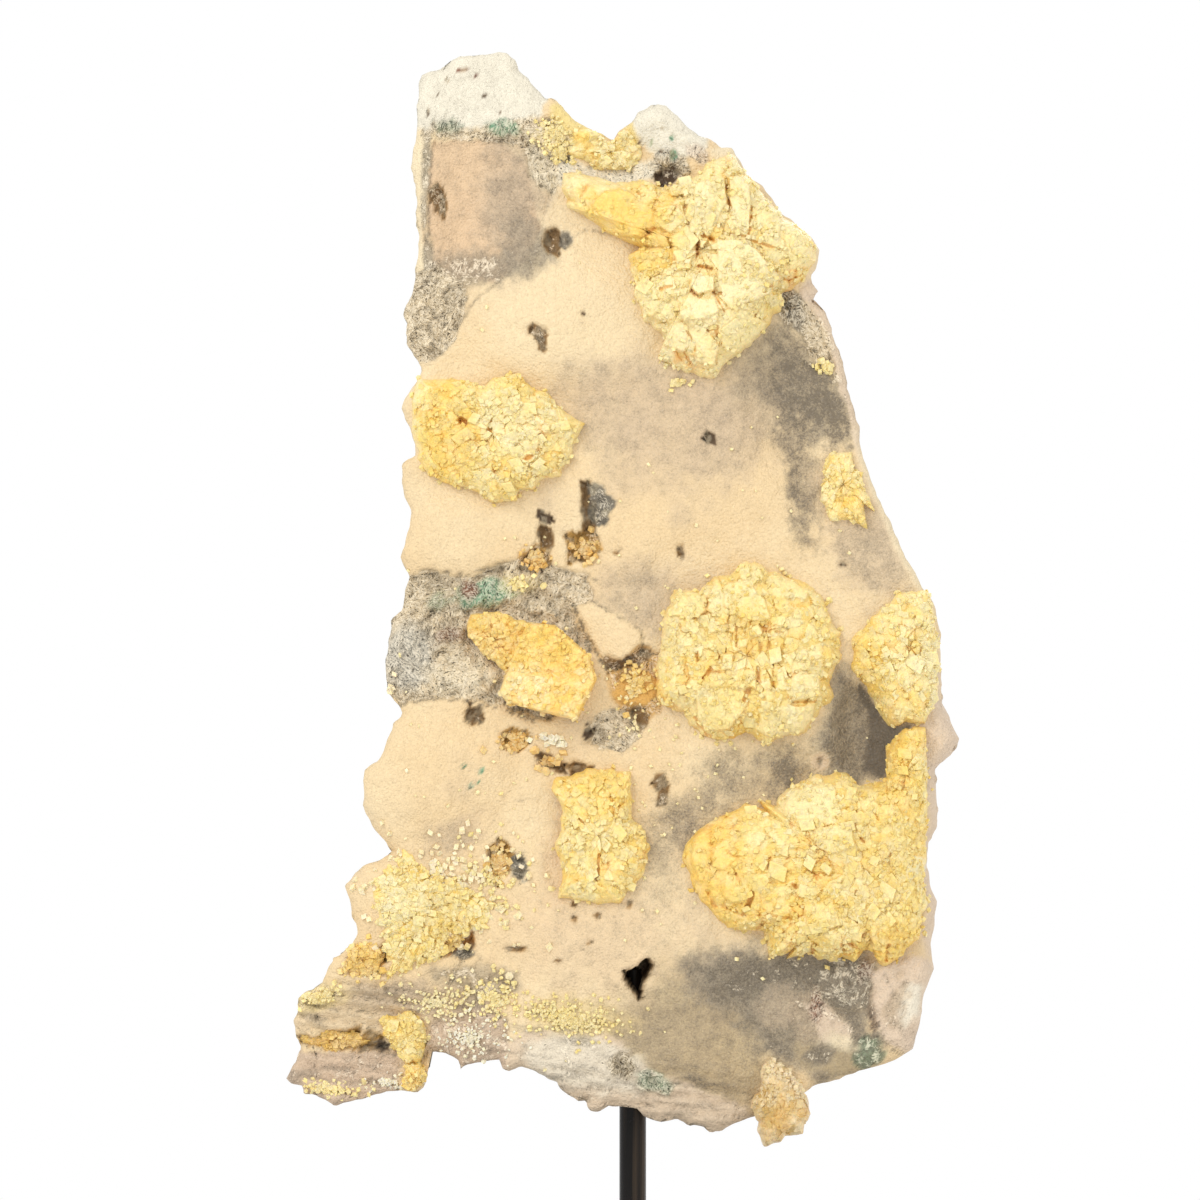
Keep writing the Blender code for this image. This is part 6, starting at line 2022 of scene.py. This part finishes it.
def flowers(shape: SlabShape) -> list[Flower]:
    """The calcite clusters of the specimen."""
    return [
        Flower(
            "calcite_flower_crown", (34, 511),
            (
                (-32, 547), (-32, 540), (-28, 530), (-22, 528), (-12, 520), (-5, 517), (3, 513), (-1, 510),
                (0, 500), (1, 490), (5, 481), (12, 476), (14, 471), (10, 463), (18, 460), (30, 455),
                (36, 455), (41, 462), (51, 468), (61, 480), (68, 489), (66, 492), (75, 498.5), (82, 507),
                (82.5, 512.5), (78, 518.5), (72, 524), (65, 529.5), (56, 541), (51, 545), (44, 555),
                (35, 553), (30, 547), (20, 542), (14, 540), (5, 543), (-8, 542), (-15, 545), (-25, 547),
            ),
            rise=20, size=(5, 13), seed=3, shape=shape,
            plates=(
                Plate(((-18, 531), (-13, 537), (-5, 539), (4, 535), (11, 530), (8, 522), (3, 518),
                    (-6, 521), (-14, 525)), 1.2, (-0.12, 0.1), -0.9),
                Plate(((1, 511), (8, 520), (15, 517), (18, 507), (16, 503), (2, 502)), 0.8, (-0.2, 0.05),
                    -0.9),
                Plate(((16, 517), (22, 520), (26, 513), (25, 503), (19, 502), (18, 508)), 1.6, (-0.1, -0.1),
                    -0.4),
                Plate(((37, 516), (50, 515), (62, 503), (66, 499), (60, 492), (46, 486), (40, 488),
                    (37, 497)), 2.0, (0.12, 0.06), 0.9),
                Plate(((26, 500), (36, 500), (36, 493), (28, 491), (25, 495)), 2.8, (0.0, -0.06), 0.8),
                Plate(((22, 490), (36, 490), (38, 484), (30, 480), (20, 481)), 1.6, (0.05, -0.2), 0.5),
                Plate(((4, 489), (19, 489), (19, 481), (12, 480), (4, 483)), 0.6, (-0.15, -0.2), 0.1),
                Plate(((38, 485), (50, 485), (60, 479), (56, 471), (46, 466), (37, 470), (36, 477)), 1.2,
                    (0.1, -0.2), 0.1),
                Plate(((10, 530), (20, 531), (22, 524), (17, 518), (9, 523)), 1.4, (-0.08, 0.14), 0.5),
                Plate(((42, 543), (51, 545), (52, 534), (51, 520), (44, 519), (43, 530)), 1.2, (0.1, 0.12),
                    0.7),
                Plate(((27, 541), (40, 543), (41, 532), (36, 522), (27, 527)), 1.5, (-0.04, 0.16), 0.5),
                Plate(((54, 540), (66, 528), (64, 518), (54, 519)), 0.9, (0.2, 0.1), 0.3),
                Plate(((66, 527), (79, 516), (79, 504), (68, 502), (67, 512)), 0.4, (0.25, 0.05), 0.0),
                Plate(((12, 478), (22, 479), (26, 471), (22, 466), (12, 470)), 0.6, (-0.1, -0.16), 0.3),
                Plate(((23, 479), (34, 474), (38, 468), (36, 460), (28, 462), (27, 470)), 1.0, (0.05, -0.2),
                    0.1),
            ),
            cracks=(
                Crack(((41, 543), (41.5, 536), (43, 530))), Crack(((51, 518), (52, 525), (52.5, 533)), 0.8),
                Crack(((41, 518), (50, 517)), 1.0, 0.6), Crack(((50, 516), (66, 511)), 0.7, 0.7),
                Crack(((4, 516), (9.5, 521)), 0.9, 0.8), Crack(((25.5, 493), (28, 491)), 0.9),
                Crack(((35.5, 492), (39, 492)), 1.0, 0.7), Crack(((36, 491), (40, 484)), 0.8, 0.7),
                Crack(((34, 476), (36, 477), (37, 473)), 1.3, 0.7), Crack(((37, 473), (39, 470)), 0.8, 0.5),
                Crack(((22.5, 466), (26, 461)), 0.9, 0.8), Crack(((24, 475), (26, 471)), 0.8, 0.5),
                Crack(((12, 494), (17, 495)), 0.7, 0.7),
                Crack(((23, 530), (25, 525), (23, 519)), 1.7, 0.55),
                Crack(((27, 518), (28.5, 513), (27.5, 506)), 1.8), Crack(((29, 504), (34.5, 503)), 1.4),
                Crack(((30, 518), (35, 515.5)), 1.6, 0.85), Crack(((19, 531), (17, 526)), 0.7, 0.5),
                Crack(((66, 499), (58, 493)), 0.8, 0.5), Crack(((54, 482), (57, 487)), 0.7, 0.5),
            ),
            angles=390, rings=76, eye=(30, 511), wheel=22, warm=(Spot(-6, 528, 22, 14), Spot(6, 508, 9, 8)),
            cover=0.15,
            warmth=-0.15,
        ),
        Flower(
            "calcite_flower_left", (-62, 430),
            (
                (-96, 455), (-80, 455), (-66, 452), (-57, 455.5), (-52, 456.5), (-43, 450), (-38, 449.5),
                (-34, 445), (-26, 437), (-22.5, 435), (-25, 426), (-28, 420), (-32, 412), (-42, 410),
                (-44, 406), (-50, 405), (-52, 401), (-63, 400), (-66, 403), (-75, 406), (-85, 409),
                (-90, 412), (-95, 419), (-97, 428), (-99, 437), (-98, 445),
            ),
            rise=14, size=(3.5, 9), seed=5, shape=shape,
            cracks=(
                Crack(((-66, 446), (-62, 438), (-64, 430)), 1.1, 0.8),
                Crack(((-41, 430), (-42, 422), (-48, 419)), 1.0, 0.8),
                Crack(((-62, 416), (-61, 413)), 1.4, 0.8), Crack(((-76, 436), (-74, 435.5)), 1.6, 0.95),
            ),
            wheel=12, cover=1.0, warmth=0.1, warm=(Spot(-84, 432, 14, 24),),
        ),
        Flower(
            "calcite_flower_centre", (50, 332),
            (
                (17.5, 361.5), (30, 360.5), (38, 368), (43, 369), (48, 373), (54, 374), (60, 368.5),
                (68, 368), (80, 362), (85, 356.5), (88, 346), (92, 342), (92, 330), (88, 321), (89, 313.5),
                (82, 306), (77, 297), (65, 295.5), (60, 292), (50, 298), (40, 294), (30, 297), (22, 306),
                (14, 309), (10, 314), (11, 328), (13, 346),
            ),
            rise=18, size=(4, 10), seed=7, shape=shape,
            plates=(
                Plate(((17, 361), (30, 360), (32, 352), (29, 349), (15, 350)), 1.6, (-0.06, 0.08), -0.1),
                Plate(((33, 352), (35, 366), (38, 367), (40, 360), (44, 352), (36, 350.5)), 1.2,
                    (-0.2, 0.1), 0.2),
                Plate(((40, 364), (50, 366), (58, 357), (60, 349), (50, 347), (40, 354)), 1.8, (0.04, 0.12),
                    0.6),
                Plate(((46, 367), (56, 372), (58, 366), (52, 362)), 1.0, (0.0, 0.25), 0.3),
                Plate(((22, 343), (24, 347), (29, 347), (30, 343), (26, 341)), 1.2, (0.0, 0.0), 0.5),
                Plate(((32, 345), (35, 348), (38, 347), (38, 343), (34, 342)), 1.2, (0.0, 0.0), 0.5),
                Plate(((39, 333), (44, 333), (44, 326), (39, 326)), 1.8, (0.0, 0.0), 0.8),
                Plate(((51, 345), (55, 346), (57, 342), (53, 340)), 1.8, (0.0, 0.0), 0.9),
                Plate(((46, 340), (51, 340), (50, 336), (46, 336)), 1.4, (0.0, 0.0), 0.6),
                Plate(((30, 324.5), (46, 326), (54, 326), (54, 318), (31, 318)), 1.0, (0.0, -0.1), 0.0),
                Plate(((28, 318), (52, 318), (50, 310), (42, 299), (32, 299), (28, 305)), 1.4,
                    (-0.05, -0.16), 0.3),
                Plate(((63, 327), (66, 326), (68, 317), (63, 317)), 1.2, (0.0, 0.0), 0.3),
                Plate(((70, 324), (82, 324), (83, 314), (70, 312)), 1.2, (0.14, 0.0), 0.3),
                Plate(((58, 310), (80, 310), (80, 304), (76, 297), (62, 296), (54, 299)), 1.2,
                    (0.08, -0.16), 0.5),
                Plate(((60, 366), (66, 368), (78, 361), (76, 357), (62, 358)), 0.8, (0.1, 0.14), 0.4),
            ),
            cracks=(
                Crack(((56, 346), (58.5, 344), (57, 340)), 1.1), Crack(((37, 335), (40.5, 334)), 1.2),
                Crack(((38, 335), (37.5, 331))), Crack(((28, 333), (28.5, 330)), 1.1),
                Crack(((34.5, 326), (31, 322)), 1.2, 0.8), Crack(((35, 325), (43, 324.5)), 0.8, 0.7),
                Crack(((55, 327), (55.5, 321)), 1.0, 0.8),
                Crack(((61, 330), (62, 322), (62, 317)), 1.3, 0.7),
                Crack(((64, 329), (69, 322.5), (72, 325)), 0.9, 0.7),
                Crack(((51, 317), (48.5, 312)), 1.2, 0.7),
                Crack(((20.5, 346), (22, 342.5), (25, 342)), 0.8, 0.6),
                Crack(((32, 353), (33, 358)), 0.8, 0.7), Crack(((45.5, 336), (45.5, 348)), 0.6, 0.6),
                Crack(((68, 311.5), (82, 312)), 0.7, 0.6), Crack(((27.5, 305), (33, 296)), 0.9, 0.6),
                Crack(((60, 336), (60, 346)), 0.9, 0.45), Crack(((63, 343), (66, 342)), 0.7, 0.6),
                Crack(((61.5, 356), (63, 352)), 0.7, 0.6), Crack(((51.5, 342), (52, 347)), 0.6, 0.6),
                Crack(((56, 339), (56.5, 328)), 0.9, 0.5),
            ),
            angles=340, rings=62, wheel=14, cover=0.5, warmth=0.1,
        ),
        Flower(
            "calcite_flower_right_edge", (121, 331),
            (
                (98, 341), (109, 351), (118, 360), (127, 362), (131, 361), (134, 350), (135.5, 341),
                (135.5, 325), (135.5, 312), (133, 306), (130, 301), (113.5, 301), (108, 309), (103, 320),
                (97, 326), (97, 332),
            ),
            rise=10, size=(4, 9), seed=11, shape=shape, angles=240, rings=42, wheel=10, cover=0.8, warmth=0.2,
        ),
        Flower(
            "calcite_flower_lower_right", (98, 235),
            (
                (22, 243), (25, 250), (28, 255), (37, 260), (45, 264), (50, 267), (55, 268.5), (57, 266),
                (59, 263), (61, 263.5), (62.5, 266), (65, 270), (72, 275), (80, 278), (88, 280),
                (95, 280.5), (100, 274.5), (107, 275), (112, 277), (122, 283), (130.5, 284), (130.5, 250),
                (129, 232), (131, 222), (128, 213), (127, 206), (118, 197), (113, 194), (109, 195),
                (106, 201), (102, 200), (98, 197), (92, 198.5), (88, 196), (82, 197), (79, 200), (70, 200),
                (68, 197), (62, 198), (59, 200), (60, 205), (58, 210), (48, 210), (40, 213), (34, 219),
                (28, 228), (25, 236),
            ),
            rise=18, size=(3.5, 9), seed=13, shape=shape,
            plates=(
                Plate(((40, 236), (48, 235), (52, 226), (44, 222), (40, 225)), 1.6, (-0.04, -0.1), 0.8),
                Plate(((34, 247), (42, 252), (46, 243), (40, 237), (34, 239)), 1.2, (-0.12, 0.0), 0.5),
                Plate(((27, 252), (33, 256), (34, 240), (30, 231), (26, 240)), 0.6, (-0.3, 0.0), -0.4),
                Plate(((80, 256), (96, 258), (98, 248), (86, 244), (80, 249)), 1.2, (0.04, 0.04), 0.5),
                Plate(((70, 273), (88, 276), (92, 262), (78, 258), (66, 262)), 1.0, (0.0, 0.14), 0.4),
                Plate(((100, 273), (112, 274), (113, 262), (101, 260)), 0.8, (0.06, 0.1), 0.3),
                Plate(((46, 266), (56, 267), (58, 258), (48, 255)), 0.8, (-0.06, 0.14), 0.0),
                Plate(((78, 222), (88, 224), (92, 213), (80, 210)), 1.0, (0.0, -0.1), 0.3),
                Plate(((120, 244), (128, 243), (128, 234), (121, 233)), 1.0, (0.1, 0.0), 1.4),
                Plate(((100, 223), (103, 223), (101, 214), (98, 215)), 1.0, (0.0, 0.0), 0.8),
            ),
            cracks=(
                Crack(((52.5, 229), (51, 222)), 1.2), Crack(((60, 243), (59, 238)), 0.9),
                Crack(((68, 243), (66, 238)), 0.9), Crack(((46, 243), (40, 247)), 0.8, 0.7),
                Crack(((45, 236), (49, 229)), 0.8, 0.6), Crack(((70, 231.5), (71.5, 230))),
                Crack(((104, 216), (102, 209), (100, 206)), 1.1), Crack(((98, 228), (98.5, 224)), 1.0, 0.8),
                Crack(((57, 213), (54, 210)), 1.0, 0.8), Crack(((96, 205), (100, 201)), 1.3, 0.6),
                Crack(((80, 204), (80, 198)), 1.1, 0.8), Crack(((113, 204), (112, 197)), 1.2, 0.8),
                Crack(((100, 252), (102, 250)), 0.9), Crack(((107, 268), (109, 266)), 0.8, 0.7),
                Crack(((106, 264), (108, 260)), 0.7, 0.6), Crack(((68, 262), (70, 257)), 0.8, 0.6),
                Crack(((33, 228), (36, 221)), 1.0, 0.7), Crack(((66, 211), (67, 208)), 0.8, 0.8),
                Crack(((34, 256), (35, 246), (34, 238)), 0.9, 0.5), Crack(((40, 221), (50, 217)), 1.2, 0.5),
                Crack(((92, 205), (94, 200)), 0.9, 0.7), Crack(((56, 218), (70, 216)), 0.8, 0.5),
                Crack(((80, 250), (83, 242)), 0.7, 0.5), Crack(((114, 248), (113, 244)), 0.8, 0.7),
            ),
            angles=390, rings=76, eye=(74, 236), wheel=14, cover=0.8, warmth=0.4,
            warm=(Spot(34, 234, 14, 26), Spot(112, 201, 12, 10)),
            also=(
                Flower(
                    "right_arm", (121, 281),
                    (
                        (111, 272), (112, 277), (113, 284), (112.5, 292), (116, 296), (120, 299),
                        (125, 301), (130, 300), (130.5, 285), (130.5, 266), (118, 264),
                    ),
                    rise=14, size=(3.5, 8), seed=61, shape=shape, cover=0.6, warmth=0.3, angles=200,
                    rings=40, warm=(Spot(115, 286, 4, 12),),
                ),
            ),
        ),
        Flower(
            "calcite_flower_lower_centre", (-15, 252),
            (
                (-34, 278), (-20, 281), (-1, 281), (-1, 262), (4, 253), (7, 248), (5, 237), (-3, 227),
                (-6, 223), (-16, 222), (-33, 225), (-31, 238), (-34, 248), (-33, 254), (-32, 265),
                (-36, 272),
            ),
            rise=12, size=(3.5, 8), seed=17, shape=shape, angles=260, rings=48, wheel=10, cover=1.0,
            warmth=0.35,
            cracks=(Crack(((-15, 244), (-16, 233)), 1.0, 0.8), Crack(((-26, 262), (-22, 258)), 0.8, 0.6)),
        ),
        Flower(
            "honey_calcite_rhomb", (-62, 339),
            ((-74, 340), (-72, 350), (-60, 352), (-46, 346), (-44, 336), (-52, 330), (-56, 325), (-66, 333)),
            rise=7, size=(2.5, 5), seed=19, shape=shape, palette=HONEY_PALETTE, slot="honey_calcite",
            angles=160, rings=28, cover=0.9,
            also=(
                Flower(
                    "honey_face", (-37, 325),
                    (
                        (-47, 347), (-34.5, 345.5), (-19.5, 332.5), (-16, 322), (-25, 303), (-56, 311),
                        (-59.5, 316), (-53, 334),
                    ),
                    rise=15, size=(2.6, 7), seed=23, shape=shape,
                    palette=Palette(Tone.PALE_YELLOW, Tone.HONEY, Tone.GOLD, Tone.DEEP_HONEY),
                    cover=0.0, angles=300, rings=60, warm=(Spot(-40, 338, 18, 10),), steep=40, soft=0.3,
                    chips=0.2,
                    cracks=(
                        Crack(((-47, 330), (-42, 336), (-33, 338)), 0.5, 0.25),
                        Crack(((-20, 331), (-25, 327)), 0.8, 0.35),
                        Crack(((-44, 320), (-36, 316), (-30, 320)), 0.5, 0.2),
                    ),
                ),
            ),
        ),
        Flower(
            "calcite_patch_right", (93, 408),
            (
                (85, 420), (88, 423), (97, 423), (98, 417), (102, 400), (107, 396), (104, 388), (98, 391),
                (88, 393), (83, 401), (84, 408),
            ),
            rise=6, size=(3, 6), seed=29, shape=shape, angles=160, rings=26,
        ),
        Flower(
            "calcite_druse_lower_left", (-90, 219),
            (
                (-113, 238), (-106, 240), (-98, 244), (-90, 236), (-75, 232), (-68, 228), (-62, 222),
                (-63, 213), (-80, 206), (-90, 195), (-108, 190), (-110, 195), (-108, 202), (-116, 222),
            ),
            rise=3.2, size=(2.8, 6.5), seed=31, shape=shape, cover=1.4, angles=260, rings=54,
            grain_space=5.0, warmth=0.25, chips=3.4,
        ),
        Flower(
            "calcite_cluster_wing", (-101, 163),
            (
                (-113, 170), (-108, 172), (-99, 173), (-93, 170), (-91.5, 163), (-92, 156), (-94, 151),
                (-99, 150), (-104, 152), (-107, 158), (-111, 163),
            ),
            rise=8, size=(2.4, 6), seed=41, shape=shape, angles=220, rings=36, cover=1.0, grain_space=3.5,
            warmth=0.3,
        ),
        Flower(
            "calcite_notch_druse", (-10, 556),
            ((-26, 566), (-18, 566), (-10, 561), (-3, 566), (1, 560), (4, 553), (-1, 549), (-14, 548),
                (-28, 555)),
            rise=5, size=(3, 6), seed=43, shape=shape, angles=160, rings=26,
        ),
        Flower(
            "honey_wing_pocket", (-120, 197),
            ((-129, 194), (-126, 202), (-120, 205.5), (-113, 206), (-111, 199), (-112, 193), (-119, 188),
                (-125, 190)),
            rise=6, size=(2.5, 5), seed=47, shape=shape, palette=DULL_PALETTE, sunk=3, slot="honey_calcite",
            angles=180, rings=30,
            cover=1.2, grain_space=3.0,
        ),
        Flower(
            "honey_wing_seam", (-134, 160.5),
            ((-150, 161), (-147, 164.5), (-134, 165.5), (-122, 163.5), (-116, 160), (-122, 157),
                (-134, 155), (-147, 156.5)),
            rise=3.4, size=(2.2, 4.5), seed=53, shape=shape, palette=DULL_PALETTE, sunk=4.4,
            slot="honey_calcite", angles=200, rings=24,
            cover=1.2, grain_space=2.5, chips=0.5,
        ),
        Flower(
            "honey_wing_tip", (-97, 144),
            ((-101, 151), (-95, 152), (-92.5, 149), (-91.2, 145), (-92.5, 140.5), (-97, 138), (-102, 140),
                (-101, 146)),
            rise=5, size=(2.2, 5), seed=59, shape=shape, palette=HONEY_PALETTE, slot="honey_calcite",
            angles=180, rings=30, cover=1.0,
            grain_space=3.0,
        ),
        Flower(
            "calcite_knob", (65, 134),
            (
                (62, 153), (70, 149), (76, 140), (78, 129), (75.5, 119.5), (71, 119.5), (66, 118),
                (59, 115), (55, 121), (53.5, 130), (56, 143), (57, 150),
            ),
            rise=14, size=(2.6, 6), seed=37, shape=shape,
            palette=Palette(Tone.ROUGH, Tone.SAND, Tone.DULL_GOLD, Tone.CAVE),
            cover=0.3, angles=220, rings=44, grain_space=3.0, warm=(Spot(63, 128, 6, 11),), held=(63, 148),
            eye=(65, 250), wheel=110, chips=1.3, steep=2.6,
        ),
    ]


def main() -> None:
    """Builds the specimen piece by piece, then the studio."""
    logging.basicConfig(level=logging.INFO, format="%(name)s: %(message)s")
    shape = SlabShape()
    calcite = CalciteFinish("yellow_calcite_crystals").material()
    honey = CalciteFinish("honey_calcite_crystals", milk=(1.0, 0.8, 0.45)).material()
    slab = RockSlab(shape).build(RockFinish().material())
    LOG.info("%s: %d faces", slab.name, len(slab.data.polygons))
    for flower in flowers(shape):
        made = flower.build(honey if flower.slot == "honey_calcite" else calcite)
        LOG.info("%s: %d faces", made.name, len(made.data.polygons))
    loose = GrainScatter(shape).build(calcite)
    LOG.info("%s: %d faces", loose.name, len(loose.data.polygons))
    Stand().dress()
    Studio().build()


if __name__ == "__main__":
    main()
